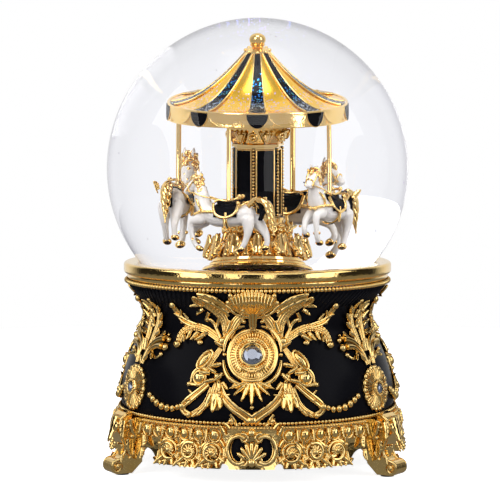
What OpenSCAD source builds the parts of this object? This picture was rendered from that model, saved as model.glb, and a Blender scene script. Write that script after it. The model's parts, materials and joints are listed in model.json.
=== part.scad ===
// Carousel music box: a water globe with a turning carousel, on an ornate footed base that
// holds a wind-up musical movement. Millimetres, +Z up, origin on the spindle axis at the
// table plane. Azimuths are counted from the front (-Y), positive towards +X.

/* [Globe] */
// Outer diameter of the glass globe
globe_d = 120; // [110:1:140]
// Wall thickness of the glass
glass_wall = 2.4; // [1.8:0.1:3.5]
// Outer diameter of the globe's neck
neck_d = 74; // [72:0.5:77]
// Length of the neck below the globe
neck_len = 10; // [7:0.5:12]
// Height of the rubber stopper inside the neck
stopper_h = 13; // [10:0.5:15]

/* [Base] */
// Height of the plinth, from the table to the enamelled body
plinth_h = 23; // [20:0.5:28]
// Height of the enamelled body
body_h = 52; // [48:0.5:60]
// How far the body's belly stands in from the plinth's side
belly_in = 1.4; // [0:0.1:4]
// Diameter of the body's waist
waist_d = 89; // [86:0.5:94]
// Diameter of the body's lip, under the globe ring
lip_d = 103; // [100:0.5:108]
// Wall thickness of the body
body_wall = 3; // [2:0.1:3.4]
// Number of flutes under the lip
flutes = 44; // [24:4:60]
// Height of the ring that the globe rests on
ring_h = 6.3; // [5:0.1:9]
// Outer diameter of the globe ring
ring_d = 106.8; // [106:0.2:112]
// Width of the globe ring's top, from its rim to the globe
ring_top_w = 6.9; // [5.5:0.1:8.5]

/* [Plinth and feet] */
// Diameter of the plinth under the body
plinth_d = 112; // [110:0.5:118]
// Wall thickness of the plinth's apron
apron_wall = 3; // [2:0.1:4]
// How far a toe reaches out beyond the plinth's side
toe_out = 10.4; // [7:0.2:16]
// Width of a foot
foot_w = 8; // [6:0.5:12]
// Thickness of the felt pads under the feet
pad_t = 0.8; // [0.5:0.1:2]

/* [Ornament] */
// Height of a medallion's centre above the table
medallion_z = 49; // [46:0.5:54]
// Width of a medallion's oval ring
medallion_w = 20; // [16:0.2:22]
// Diameter of a medallion's crystal
crystal_d = 8; // [5:0.1:10]
// Height of a rosette's centre above the table
rosette_z = 34; // [32:0.5:40]
// Diameter of a rosette
rosette_d = 18.2; // [14:0.2:20]
// Diameter of a rosette's crystal
rosette_crystal_d = 3.4; // [2:0.1:5]

/* [Carousel] */
// Resting turn of the carousel about its spindle, in degrees
figure_turn = 2; // [0:1:45]
// Radius of the canopy at its rim
canopy_r = 27.2; // [26.8:0.1:29]
// Height of the canopy from rim to collar
canopy_rise = 16.4; // [12:0.2:20]
// Thickness of the canopy
canopy_t = 1.4; // [1:0.1:2]
// Depth of the valance below the rim
valance_h = 5; // [3:0.1:6]
// Width of a stripe at the rim
stripe_w = 7.2; // [4:0.1:9]
// Number of stripes on the canopy
stripes = 8; // [6:1:12]
// Height of the pedestal under the column
pedestal_h = 16.4; // [14:0.2:18]
// Height of the column between pedestal and capital
column_h = 21.4; // [18:0.2:26]
// Radius of the column over its corners
column_r = 7.6; // [6:0.1:9]
// Radius of the circle that the poles stand on
pole_circle_r = 24.4; // [23:0.1:25]
// Diameter of a pole
pole_d = 1.3; // [1:0.1:2]
// Height of the saddles above the carousel's underside
saddle_z = 22; // [20:0.2:26]
// Size of the horses, 1 for a horse 28 mm long
horse_size = 1.19; // [1:0.01:1.22]

/* [Movement] */
// Diameter of the spring barrel
barrel_d = 24; // [22:0.5:26]
// Height of the spring barrel below its crown teeth
barrel_h = 9.5; // [8:0.5:12]
// Diameter of the music drum
drum_d = 12.4; // [11:0.1:13]
// Length of the music drum
drum_len = 18; // [16:0.5:19]
// Number of tuned teeth in the comb
comb_teeth = 18; // [12:1:22]
// Diameter of the winding arbor
arbor_d = 3.2; // [2.4:0.1:4]
// Width of the winding key's wings
key_w = 24; // [18:0.5:30]
// Diameter of the carousel's spindle
spindle_d = 4; // [3:0.1:5]

/* [Fits] */
// Radial clearance of a shaft in its bearing
run_fit = 0.05; // [0.02:0.01:0.09]
// Clearance of pieces that are glued or seated
seat_gap = 0.05; // [0.03:0.01:0.1]
// Clearance between the turning carousel and what stands still
turn_gap = 0.4; // [0.3:0.05:0.8]

/* [Hidden] */
$fn = 48;
gold = [0.83, 0.62, 0.22];
enamel = [0.03, 0.03, 0.035];
steel = [0.7, 0.71, 0.73];
ivory = [0.93, 0.91, 0.87];
crystal = [0.85, 0.9, 0.95, 0.7];
e = 0.01; // overlap of cutting tools
relief_gap = 0.3; // from an openwork relief's back to the skin, enough for its straight bars
apron_gap = 0.3; // from the plinth's flat-backed ornament to the apron
sides = [0, 120, 240]; // medallions, and the pieces around each
corners = [60, 180, 300]; // rosettes and feet

// heights of the base, from the table up
body_z = plinth_h;
lip_z = body_z + body_h;
ring_z = lip_z + 0.2;
ring_top = ring_z + ring_h;
belly_z = body_z + 3;
waist_z = lip_z - 14;
globe_r = globe_d / 2;
seat_d = ring_d - 2 * ring_top_w; // the circle where the globe rests
seat_depth = 1.2; // how far that circle lies below the ring's top
seat_slope = sqrt(globe_r ^ 2 - (seat_d / 2) ^ 2) / (seat_d / 2); // the glass leans out by this there
globe_z = ring_top - seat_depth + sqrt(globe_r ^ 2 - (seat_d / 2) ^ 2);
neck_r = neck_d / 2;
neck_top = globe_z - sqrt(globe_r ^ 2 - neck_r ^ 2);
neck_z = neck_top - neck_len;
bore_r = neck_r - glass_wall;

// the carousel's heights
stopper_top = neck_z + stopper_h;
mound_h = 12.8;
figure_z = stopper_top + seat_gap + mound_h + turn_gap;
column_z = figure_z + pedestal_h;
capital_z = column_z + column_h;
capital_h = 8.4;
rim_z = capital_z + capital_h + 4.5;
roof_z = rim_z + canopy_rise;
collar_r = 3.3;
hub_r = collar_r + 0.8; // the canopy's hub, which shows as a step under the finial
finial_r = collar_r + 0.2;
pole_count = 4;
pole_step = 360 / pole_count;
pole_r = pole_d / 2;
pole_start = 337.5; // a pole hangs midway between two stripes

// the movement: a crown gear on the barrel, then two spur pairs, then a worm
crown_m = 0.46;
crown_n = 48;
pinion_n = 12;
train_m = 0.42;
wheel_n = 36;
gov_pinion_n = 12;
worm_wheel_n = 20;
plate_t = 2.4; // bottom plate
plate_z = plinth_h - 6;
bed_t = 1.5;
bed_z = plate_z + plate_t + 3.6; // bedplate on its feet
barrel_z = bed_z + bed_t + 0.8;
barrel_r = barrel_d / 2;
arbor_r = arbor_d / 2;
crown_r = crown_m * crown_n / 2;
crown_w = 2.2;
tooth_h = 2.25 * crown_m;
crown_base = 0.27 * PI * crown_m; // half a crown tooth's width at its base, and at its tip
crown_tip = 0.12 * PI * crown_m;
crown_z = barrel_z + barrel_h;
pinion_r = crown_m * pinion_n / 2;
drum_z = crown_z + 1.25 * crown_m + pinion_r;
drum_x = barrel_r + 2.6;
drum_r = drum_d / 2;
drum_end = drum_x + drum_len;
wheel_w = 1.6;
wheel_x = drum_end + 0.6;
wheel_r = train_m * wheel_n / 2;
mesh_slack = 0.06;
gov_y = wheel_r + train_m * gov_pinion_n / 2 + mesh_slack;
bearing_t = 1;
bearing_in_x = barrel_r + 0.9;
bearing_out_x = wheel_x + wheel_w + 0.4;
worm_wheel_x = bearing_out_x + bearing_t + 0.4;
worm_wheel_w = 1.2;
worm_r = 1.3;
worm_lead = PI * train_m;
worm_x = worm_wheel_x + worm_wheel_w / 2;
worm_y = gov_y + train_m * worm_wheel_n / 2 + worm_r + mesh_slack;
pivot_r = 0.6;
bracket_x = worm_wheel_x + worm_wheel_w + 0.5;
fan_z = drum_z + 3.5 * worm_lead;
fan_h = 4.5;
fan_w = 7.6;
pin_h = 0.45;
coupling_z = crown_z + tooth_h + 7;
spindle_r = spindle_d / 2;
bush_r = spindle_r + 2;
screw_r = 1.5;

// ---- shapes used by several pieces ----

belly_d = plinth_d - 2 * belly_in; // the body follows the plinth that it stands on
toe_reach = plinth_d / 2 + toe_out; // of a toe, from the axis

function bezier(a, b, c, d, n) = [for (i = [0:n]) let (t = i / n, s = 1 - t)
    s ^ 3 * a + 3 * s ^ 2 * t * b + 3 * s * t ^ 2 * c + t ^ 3 * d];
function reversed(list) = [for (i = [len(list) - 1:-1:0]) list[i]];
function inset(list, wall) = [for (p = list) [p[0] - wall, p[1]]];

// outline of the enamelled body as [radius, height], from its foot to its lip
body_line = concat(
    [[belly_d / 2 - 0.6, body_z]],
    bezier([belly_d / 2, belly_z], [belly_d / 2, belly_z + 20],
        [waist_d / 2, waist_z - 9], [waist_d / 2, waist_z], 9),
    bezier([waist_d / 2, waist_z + 1], [waist_d / 2, waist_z + 6],
        [lip_d / 2 - 1, waist_z + 8], [lip_d / 2, lip_z], 6));
function body_r(z) = lookup(z, [for (p = body_line) [p[1], p[0]]]);
function body_lean(z) = atan((body_r(z + 1) - body_r(z - 1)) / 2);

// a point on the body's skin: azimuth, height and distance above the skin
function skin(az, z, out) = let (r = (z < body_z ? plinth_r(z) : body_r(z)) + out)
    [r * sin(az), -r * cos(az), z];
// outline of the plinth's apron, which flares towards the table
function plinth_r(z) = plinth_d / 2 + 2.6 * ((plinth_h - z) / plinth_h) ^ 2;

// puts children on the body's skin, x to the right, y up and z outwards
module on_skin(az, z, out = 0)
    rotate([0, 0, az]) translate([0, -body_r(z) - out, z])
        rotate([90 + body_lean(z), 0, 0]) children();

// a round bar that tapers from one point to another
module bar(a, b, ra, rb) {
    d = b - a;
    translate(a) rotate([0, acos(d[2] / norm(d)), atan2(d[1], d[0])])
        cylinder(r1 = ra, r2 = rb, h = norm(d), $fn = 24);
}

// a tendril on the skin through points [azimuth, height, half width], which tapers and bends at each
module tendril(points) for (i = [0:len(points) - 2]) hull() for (p = [points[i], points[i + 1]])
    translate(skin(p[0], p[1], (p[2] + relief_gap) / cos(body_lean(p[1]))))
        rotate([body_lean(p[1]), 0, p[0]]) sphere(r = p[2] * sqrt(2), $fn = 4);

// children and their mirror image left and right of the front
module both_sides() {
    children();
    mirror([1, 0, 0]) children();
}

// the space that the body fills, with the glue line around it
module body_space()
    rotate_extrude($fn = 96)
        polygon(concat([[0, body_z - 9]], inset([[body_line[0][0], body_z - 9]], -seat_gap),
            inset(body_line, -seat_gap), [[lip_d / 2 + seat_gap, lip_z + 9], [0, lip_z + 9]]));

// a spur gear's outline, with a tooth on the x axis
module gear_outline(n, m) {
    tip = m * n / 2 + m;
    root = m * n / 2 - 1.25 * m;
    half = 90 / n; // half a tooth's angle at the pitch circle
    polygon([for (i = [0:n - 1], p = [[root, -1.12], [tip, -0.42], [tip, 0.42], [root, 1.12]])
        let (a = i * 360 / n + p[1] * half) p[0] * [cos(a), sin(a)]]);
}

// a disc gear along +x from x, with a tooth towards +y
module gear_x(x, n, m, w)
    translate([x, 0, 0]) rotate([90, 0, 90]) linear_extrude(w) gear_outline(n, m);

// a bar along +x
module rod_x(x1, x2, r) translate([x1, 0, 0]) rotate([0, 90, 0]) cylinder(r = r, h = x2 - x1);

// ---- base ----

module base_body() color(enamel) difference() {
    rotate_extrude($fn = 96)
        polygon(concat(body_line, reversed(inset(body_line, body_wall))));
    for (i = [0:flutes - 1]) rotate([0, 0, i * 360 / flutes])
        translate([waist_d / 2 + 4.9, 0, lip_z - 6.5]) rotate([14, 30, 0])
            cylinder(r = 1, h = 12, center = true, $fn = 24);
}

ring_skirt_r = body_r(ring_z - 2) - body_wall - 0.3; // the ring's skirt drops inside the lip
module globe_ring() color(gold) rotate_extrude($fn = 96)
    polygon([
        [seat_d / 2 + seat_gap, ring_top - seat_depth],
        [seat_d / 2 + 2 * seat_gap + 0.9 * seat_slope, ring_top - 0.3],
        [seat_d / 2 + 0.4 + seat_depth * seat_slope, ring_top], [ring_d / 2 - 1.4, ring_top],
        [ring_d / 2 - 0.4, ring_top - 0.4], [ring_d / 2, ring_top - 1.2],
        [ring_d / 2, ring_top - 3.6], [ring_d / 2 - 0.4, ring_top - 4.2],
        [ring_d / 2 - 1.3, ring_top - 4.4], [ring_d / 2 - 1.3, ring_z],
        [ring_skirt_r, ring_z], [ring_skirt_r, ring_z - 2],
        [ring_skirt_r - 1.2, ring_z - 2], [ring_skirt_r - 1.4, ring_z + 1],
        [seat_d / 2 + seat_gap, ring_top - 3.2]]);

module bead_ring(r, z, d) color(gold) rotate_extrude($fn = 96) translate([r, z]) circle(d = d, $fn = 24);

upper_bead_d = 1.7;
module upper_beads() bead_ring((lip_d + upper_bead_d) / 2 + 0.07, lip_z - upper_bead_d / 2, upper_bead_d);

module lower_beads() bead_ring(belly_d / 2 + 0.55, body_z + 0.85, 1.4);

apron_steps = 6;
apron_z = 6.6; // lowest edge of the apron
module plinth() color(gold) difference() {
    ledge_r = plinth_d / 2 - 8;
    rotate_extrude($fn = 96)
        polygon(concat(
            [for (i = [0:apron_steps]) let (z = apron_z + i * (plinth_h - apron_z) / apron_steps)
                [plinth_r(z), z]],
            [[ledge_r, plinth_h], [ledge_r, plate_z + plate_t + seat_gap],
                [plinth_d / 2 - apron_wall, plate_z + plate_t + seat_gap],
                [plinth_r(apron_z) - apron_wall, apron_z]]));
    // the arches beside the feet, and the notches between the volutes
    for (c = corners, s = [-1, 1]) {
        rotate([0, 0, c + s * 13]) arch(6.2, 5.8);
        rotate([0, 0, c + s * 28.3]) arch(1.6, 6.8);
        rotate([0, 0, c + s * 39.2]) arch(1.8, 6.8);
        rotate([0, 0, c + s * 49.4]) arch(1.8, 6.8);
    }
    for (c = corners) rotate([0, 0, c]) foot_slot();
    plate_screw_places() translate([0, 0, plate_z])
        cylinder(r = screw_r + seat_gap, h = plinth_h - plate_z - 0.4);
}

// an opening through the apron, rounded at its top
module arch(r, z) rotate([90, 0, 0]) translate([0, z, plinth_d / 2 - 11]) cylinder(r = r, h = 20);

// the slot in the plinth that a foot is let into
module foot_slot()
    translate([-foot_w / 2 - seat_gap, -plinth_d, -e])
        cube([foot_w + 2 * seat_gap, plinth_d / 2 + apron_wall + 1.6, plinth_h - 6 + e]);

// puts children on the apron's skin, z outwards
function apron_lean(z) = atan((plinth_r(z + 1) - plinth_r(z - 1)) / 2);
module on_apron(az, z) rotate([0, 0, az]) translate([0, -plinth_r(z) - apron_gap, z])
    rotate([90 + apron_lean(z), 0, 0]) children();

// a scroll on the apron, turned with a dished face and a button
module volute(az, z, r) on_apron(az, z) rotate_extrude()
    polygon([[0, 0], [r - 0.4, 0], [r, 0.6], [r - 0.3, 1.5], [r - 0.9, 1.7], [r - 1.5, 1.2],
        [r * 0.55, 0.8], [r * 0.42, 1.8], [r * 0.2, 2.3], [0, 2.4]]);

// an egg of the border under the body, in its shell
module egg(az, z) on_apron(az, z) rotate_extrude()
    polygon([[0, 0], [2.5, 0], [2.7, 0.5], [2.3, 0.9], [1.8, 0.6], [1.5, 1.2], [0.8, 1.7], [0, 1.8]]);

volute_step = 9.3; // degrees from one scroll to the next
egg_step = 6.4;
// the scrolls, the shell between them and the egg border on one side of the apron
module plinth_ornament(az) color(gold) rotate([0, 0, az]) {
    both_sides() {
        for (i = [0:2]) volute(15.4 + i * volute_step, plinth_h - 10.3, 3.9);
        for (i = [0:4]) egg(14.4 + i * egg_step, plinth_h - 3.6);
    }
    on_apron(0, 14) {
        both_sides() translate([4.9, 0, 1]) rotate([0, 0, -110]) rotate_extrude(angle = 240)
            translate([3.4, 0]) circle(r = 0.9, $fn = 24);
        for (a = [-40:20:40]) bar([0.4 * sin(a), -4, 0.9], [6 * sin(a), -4 + 7 * cos(a), 1.2], 0.5, 1);
        translate([0, -4.4, 1.3]) sphere(r = 1.3, $fn = 24);
    }
}

module plinth_ornament_front() plinth_ornament(sides[0]);
module plinth_ornament_right() plinth_ornament(sides[1]);
module plinth_ornament_left() plinth_ornament(sides[2]);

leg_r = plinth_d / 2; // where a leg's back meets the apron
toe_r = 2.9;
toe = [toe_reach - toe_r, pad_t + toe_r]; // centre of the toe's scroll
module leg(az) color(gold) rotate([0, 0, az - 90]) difference() {
    rotate([90, 0, 0]) translate([0, 0, -foot_w / 2]) linear_extrude(foot_w)
        polygon(concat(
            bezier([leg_r + 1.4, plinth_h + 2], [toe_reach - 1.6, plinth_h + 2],
                [toe_reach - 2.6, plinth_h - 6], [toe_reach - 5.4, plinth_h - 11], 8),
            bezier([toe_reach - 5.8, plinth_h - 12], [toe_reach - 6.6, 9],
                [toe_reach - 5.6, 7.4], [toe_reach - 3.6, pad_t + 2 * toe_r + 0.1], 5),
            [for (a = [80:-20:-100]) toe + toe_r * [cos(a), sin(a)]],
            [[toe_reach - 9, pad_t], [leg_r - 3, 5], [leg_r - apron_wall, plinth_h - 8],
                [leg_r - apron_wall, plinth_h - 6 - seat_gap], [leg_r + 1.4, plinth_h - 6 - seat_gap]]));
    // the hollows of the toe's scroll
    for (s = [-1, 1]) translate([toe[0], s * foot_w / 2, toe[1]]) rotate([90, 0, 0]) difference() {
        cylinder(r = toe_r - 0.8, h = 1.4, center = true);
        cylinder(r = 1, h = 2, center = true);
    }
}

module leg_right() leg(corners[0]);
module leg_rear() leg(corners[1]);
module leg_left() leg(corners[2]);

module foot_pads() color([0.1, 0.1, 0.1]) for (c = corners) rotate([0, 0, c])
    translate([0, -toe_reach + 6.6, 0]) cylinder(r = 2.6, h = pad_t - e);

// ---- ornament on the body ----

oval_rise = 1.3; // half of what a medallion is taller than it is wide
oval_bar = 1.1;
module medallion(az) color(gold) difference() {
    on_skin(az, medallion_z) {
        // a beaded oval built from two half rings, around a dished setting
        for (s = [0, 180]) rotate([0, 0, s]) translate([0, oval_rise, 0.4]) rotate_extrude(angle = 180)
            translate([medallion_w / 2 - oval_bar, 0]) circle(r = oval_bar, $fn = 24);
        for (s = [-1, 1]) translate([s * (medallion_w / 2 - oval_bar), 0, 0.4]) rotate([90, 0, 0])
            cylinder(r = oval_bar, h = 2 * oval_rise, center = true, $fn = 24);
        for (a = [0:20:359]) translate([0, sign(round(sin(a) * 9)) * oval_rise, 0.9]) rotate([0, 0, a])
            translate([medallion_w / 2 - oval_bar, 0, 0]) sphere(r = 0.85, $fn = 24);
        translate([0, 0, -1.5]) cylinder(r1 = medallion_w / 2 + 0.4, r2 = crystal_d / 2 + 1, h = 3.6);
    }
    on_skin(az, medallion_z) translate([0, 0, 1.4]) cylinder(r = crystal_d / 2 + seat_gap, h = 9);
    body_space();
}

module medallion_front() medallion(sides[0]);
module medallion_right() medallion(sides[1]);
module medallion_left() medallion(sides[2]);

// a cut stone: a crown over a straight girdle
module stone(d) {
    cylinder(d = d, h = 0.5);
    translate([0, 0, 0.5]) cylinder(d1 = d, d2 = d * 0.55, h = d * 0.16);
}

module medallion_crystals() color(crystal) for (side = sides)
    on_skin(side, medallion_z) translate([0, 0, 1.4 + seat_gap]) stone(crystal_d);

petals = 12;
module rosette(az) color(gold) difference() {
    on_skin(az, rosette_z) {
        for (i = [0:petals - 1]) rotate([0, 0, i * 360 / petals])
            bar([rosette_crystal_d / 2 + 0.8, 0, 0.7], [rosette_d / 2 - 1.6, 0, 0.5], 0.5, 1.35);
        for (i = [0:petals - 1]) rotate([0, 0, i * 360 / petals])
            translate([rosette_d / 2 - 1.6, 0, 0.5]) sphere(r = 1.55, $fn = 24);
        translate([0, 0, -1]) cylinder(r1 = rosette_d / 2 - 2.4, r2 = rosette_crystal_d / 2 + 1, h = 2.6);
    }
    on_skin(az, rosette_z) translate([0, 0, 1]) cylinder(r = rosette_crystal_d / 2 + seat_gap, h = 9);
    body_space();
}

module rosette_right() rosette(corners[0]);
module rosette_rear() rosette(corners[1]);
module rosette_left() rosette(corners[2]);

module rosette_crystals() color(crystal) for (c = corners)
    on_skin(c, rosette_z) translate([0, 0, 1 + seat_gap]) stone(rosette_crystal_d);

// the scrolls, sprays and swags around one medallion, an openwork relief pinned to the body
module scrollwork(az) color(gold) rotate([0, 0, az]) {
    both_sides() {
        // cornucopia beside the crown, with the strap along its back
        tendril([[11.8, 60.8, 1.1], [15, 64.6, 1.6], [19.2, 67.6, 1.9], [23, 69, 2.3]]);
        tendril([[14.6, 68.6, 0.9], [18.2, 71, 1], [22, 71.4, 1.2]]);
        // scroll leaf between the crown and the medallion
        tendril([[2.9, 63.6, 0.9], [6.2, 63.8, 1.2], [9.4, 61.4, 1.3], [11, 58.6, 0.9]]);
        // curl, then the ribbed arm that bends over, with its branch, bud and leaf
        tendril([[15, 56, 0.6], [17, 60.4, 0.7], [20.8, 63.2, 0.9]]);
        tendril([[14.8, 54.4, 1.1], [20.6, 57.6, 1.3], [29, 59.2, 1.2], [35.2, 58, 1.3],
            [38.2, 55.6, 1.3], [37.4, 52.6, 1.4]]);
        tendril([[29, 59, 0.7], [35.6, 61.4, 0.8], [40.4, 63.6, 0.8], [40.8, 66.6, 1.2]]);
        tendril([[22, 56.8, 0.8], [26.2, 54.8, 1], [25, 52.6, 0.8]]);
        // oval stone, ball and leaf beside the medallion
        tendril([[16.2, 52, 1.2], [18.8, 49.6, 1.9], [21.6, 46.2, 1.9], [20.4, 43.8, 1.2]]);
        tendril([[15.2, 44.4, 1.3], [18, 41.8, 1.5], [22.2, 40.6, 2.2], [26.6, 38.2, 0.8]]);
        // leaf pendant, the straps down to the bead row and the loop that carries the swag
        tendril([[15.2, 39.2, 1.1], [14.8, 35.6, 1.7], [14.8, 32, 1.5], [14.2, 29, 0.7]]);
        tendril([[13.2, 37.4, 1], [10, 33.2, 1.2], [5.8, 28.8, 1.3], [1.2, 26.6, 1.4]]);
        tendril([[15.6, 36, 0.9], [18, 31.4, 1.1], [21.6, 28.6, 1.1], [26.4, 27, 1.1]]);
        tendril([[18.6, 38, 0.8], [23.6, 33, 0.9], [28.6, 29.6, 1], [26.4, 27, 0.9]]);
        // swag of graded beads, from the loop to the rosette
        tendril([[28.6, 29.6, 1], [33.2, 28.2, 1.3], [38, 28.2, 1.3], [42.6, 29.8, 1.3], [47, 32.4, 1]]);
        // half of the leaf spray over a rosette: stem, trumpet and plume
        tendril([[56.4, 46, 0.9], [55, 49.4, 1.5], [51.4, 51.8, 1.6], [47, 52, 1.2], [43, 50.8, 1.4]]);
        tendril([[55, 49.4, 1.5], [56.4, 54.6, 1.8], [56, 60.4, 1.6], [56.8, 65, 0.8]]);
        tendril([[4.8, 36.4, 1], [2.4, 33.8, 0.9]]);
    }
    // ribbed crown under the bead row with its stem, and the drop below the medallion
    for (a = [-9:3:9]) tendril([[a * 0.5, 65.4, 1.2], [a * 1.15, 70.8 - abs(a) * 0.3, 1.7]]);
    tendril([[0, 61.8, 0.9], [0, 65.4, 1.2]]);
    tendril([[0, 35.2, 1.5], [0, 32.4, 1.2], [0, 30, 0.7]]);
}

module scrollwork_front() scrollwork(sides[0]);
module scrollwork_right() scrollwork(sides[1]);
module scrollwork_left() scrollwork(sides[2]);

// ---- globe ----

module glass_globe() color([0.9, 0.95, 1, 0.25]) difference() {
    union() {
        translate([0, 0, globe_z]) sphere(r = globe_r, $fn = 96);
        translate([0, 0, neck_z]) cylinder(r = neck_r, h = neck_len + 1, $fn = 96);
    }
    translate([0, 0, globe_z]) sphere(r = globe_r - glass_wall, $fn = 96);
    // the mouth, from below the sphere's own lowest point
    translate([0, 0, globe_z - globe_r - 1])
        cylinder(r = bore_r, h = neck_top + glass_wall + 3 - globe_z + globe_r + 1, $fn = 96);
}

module stopper() color([0.15, 0.15, 0.16]) difference() {
    union() {
        translate([0, 0, neck_z - 3]) cylinder(r = neck_r + 1, h = 3 - seat_gap);
        translate([0, 0, neck_z - 3]) cylinder(r = bore_r - seat_gap, h = stopper_h + 3);
    }
    translate([0, 0, neck_z - 4]) cylinder(r = bush_r + seat_gap, h = stopper_h + 9);
}

seal_h = 1.4;
module gland_bush() color(steel) difference() {
    translate([0, 0, neck_z - 4]) union() {
        cylinder(r = bush_r, h = stopper_h + 6);
        cylinder(r = bush_r + 2, h = 1 - seat_gap);
    }
    translate([0, 0, neck_z - 4 - e]) cylinder(r = spindle_r + run_fit, h = stopper_h + 9);
    translate([0, 0, stopper_top + 0.4]) cylinder(r = spindle_r + 1, h = 9);
}

module spindle_seal() color([0.1, 0.1, 0.1])
    translate([0, 0, stopper_top + 0.4 + seat_gap]) difference() {
        cylinder(r = spindle_r + 1 - seat_gap, h = seal_h);
        translate([0, 0, -e]) cylinder(r = spindle_r + run_fit, h = seal_h + 1);
    }

module mound() color([0.08, 0.08, 0.1]) translate([0, 0, stopper_top + seat_gap]) difference() {
    rotate_extrude($fn = 96)
        polygon(concat([[0, 0], [bore_r - 2.6, 0]],
            bezier([bore_r - 2.6, 1.2], [bore_r - 9, 3.6], [19, 7.6], [12.4, mound_h], 7),
            [[0, mound_h]]));
    translate([0, 0, -e]) cylinder(r = bush_r + 0.3, h = mound_h + 1);
}

// ---- inside the base ----

module plate_screw_places() for (c = corners) rotate([0, 0, c + 30])
    translate([0, -plinth_d / 2 + 5.9, 0]) children();

module bottom_plate() color(enamel) difference() {
    translate([0, 0, plate_z]) cylinder(r = plinth_d / 2 - apron_wall - 0.3, h = plate_t, $fn = 96);
    translate([0, 0, plate_z - e]) cylinder(r = arbor_r + 2.4, h = plate_t + 1);
    plate_screw_places() translate([0, 0, plate_z - e])
        cylinder(r = screw_r + 0.1, h = plate_t + 1);
    translate([0, 0, plate_z - e]) bed_screw_places() cylinder(r = screw_r + 0.1, h = plate_t + 1);
}

// a pan-head screw pointing up, its head under z = 0
module screw(r, len) {
    translate([0, 0, -1.2]) difference() {
        cylinder(r = 1.9 * r, h = 1.2);
        translate([-0.3, -r * 2, -e]) cube([0.6, r * 4, 0.6]);
    }
    cylinder(r = r, h = len);
}

module plate_screws() color(steel) plate_screw_places()
    translate([0, 0, plate_z - seat_gap]) screw(screw_r, plate_t + 3);

bed_x0 = -barrel_r - 5;
bed_x1 = bracket_x + 3;
bed_y0 = -24;
bed_y1 = worm_y + 4;
bed_screws = [[bed_x0 + 4, bed_y0 + 4], [bed_x0 + 4, bed_y1 - 4], [bed_x1 - 10, bed_y0 + 4]];
module bed_screw_places() for (p = bed_screws) translate([p[0], p[1], 0]) children();

module movement_plate() color(steel) difference() {
    union() {
        translate([bed_x0, bed_y0, bed_z]) cube([bed_x1 - bed_x0, bed_y1 - bed_y0, bed_t]);
        bed_screw_places() translate([0, 0, plate_z + plate_t + seat_gap])
            cylinder(r = 3, h = bed_z - plate_z - plate_t);
        // the block that the comb is screwed to
        translate([drum_x, comb_y - comb_base, bed_z])
            cube([drum_len, comb_base, drum_z - comb_t / 2 - seat_gap - bed_z]);
    }
    translate([0, 0, bed_z - e]) cylinder(r = arbor_r + run_fit, h = bed_t + 1);
    bed_screw_places() translate([0, 0, plate_z]) cylinder(r = screw_r + 0.1, h = bed_z - plate_z - 0.6);
    comb_screw_places() translate([0, 0, drum_z - 6]) cylinder(r = 0.95, h = 9);
}

module movement_screws() color(steel) bed_screw_places()
    translate([0, 0, plate_z - seat_gap]) screw(screw_r, bed_z - plate_z - 1);

comb_t = 1.2;
comb_base = 6;
comb_reach = 9; // free length of the teeth
comb_y = -drum_r - pin_h - 0.1 - comb_reach; // front of the comb's base
module comb_screw_places() for (x = [drum_x + 4, drum_end - 4])
    translate([x, comb_y - comb_base / 2, 0]) children();

module comb() color(steel) difference() {
    translate([drum_x, comb_y - comb_base, drum_z - comb_t / 2])
        cube([drum_len, comb_base + comb_reach, comb_t]);
    for (i = [1:comb_teeth - 1]) translate([drum_x + i * drum_len / comb_teeth - 0.1, comb_y, drum_z - 2])
        cube([0.2, comb_reach + 1, 4]);
    comb_screw_places() translate([0, 0, drum_z - 2]) cylinder(r = 1.1, h = 4);
}

module comb_screws() color(steel) comb_screw_places()
    translate([0, 0, drum_z + comb_t / 2 + seat_gap]) mirror([0, 0, 1]) screw(0.9, 5);

// two cheeks on the bedplate that carry the drum and the governor's first arbor
module drum_bearings() color(steel) difference() {
    union() {
        translate([bearing_in_x, -2.4, bed_z + bed_t]) cube([bearing_t, 4.8, drum_z + 2 - bed_z - bed_t]);
        translate([bearing_out_x, -2.4, bed_z + bed_t]) cube([bearing_t, gov_y + 4.8, drum_z + 2 - bed_z - bed_t]);
    }
    translate([0, 0, drum_z]) rod_x(bearing_in_x - 1, bearing_out_x + 3, pivot_r + run_fit);
    translate([0, gov_y, drum_z]) rod_x(bearing_out_x - 1, bearing_out_x + 3, pivot_r + run_fit);
}

// a frame around the governor: a cheek for the wheel and two arms for the fan's arbor
arm_t = 1.2;
module governor_bracket() color(gold) difference() {
    union() {
        translate([bracket_x, gov_y - 2.4, bed_z + bed_t])
            cube([1, worm_y - gov_y + 4.8, fan_z + fan_h + arm_t + 0.8 - bed_z - bed_t]);
        for (z = [drum_z - 2.5 * worm_lead - arm_t - 0.5, fan_z + fan_h + 0.4])
            translate([worm_x - 1.6, worm_y - 1.6, z]) cube([bracket_x - worm_x + 1.6 + e, 3.2, arm_t]);
    }
    translate([0, gov_y, drum_z]) rod_x(bracket_x - 1, bracket_x + 3, pivot_r + run_fit);
    translate([worm_x, worm_y, bed_z + bed_t + 1]) cylinder(r = pivot_r + run_fit, h = 90);
    // windows for the fan and for the worm below it
    translate([bracket_x - e, worm_y - fan_w / 2 - 0.5, fan_z - 0.3]) cube([2, fan_w + 1, fan_h + 0.6]);
    translate([bracket_x - e, worm_y - worm_r - 0.8, drum_z - 2.5 * worm_lead - 0.3])
        cube([2, 2 * worm_r + 1.6, fan_z - drum_z + 2.5 * worm_lead]);
}

// ---- the winding key ----

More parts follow.
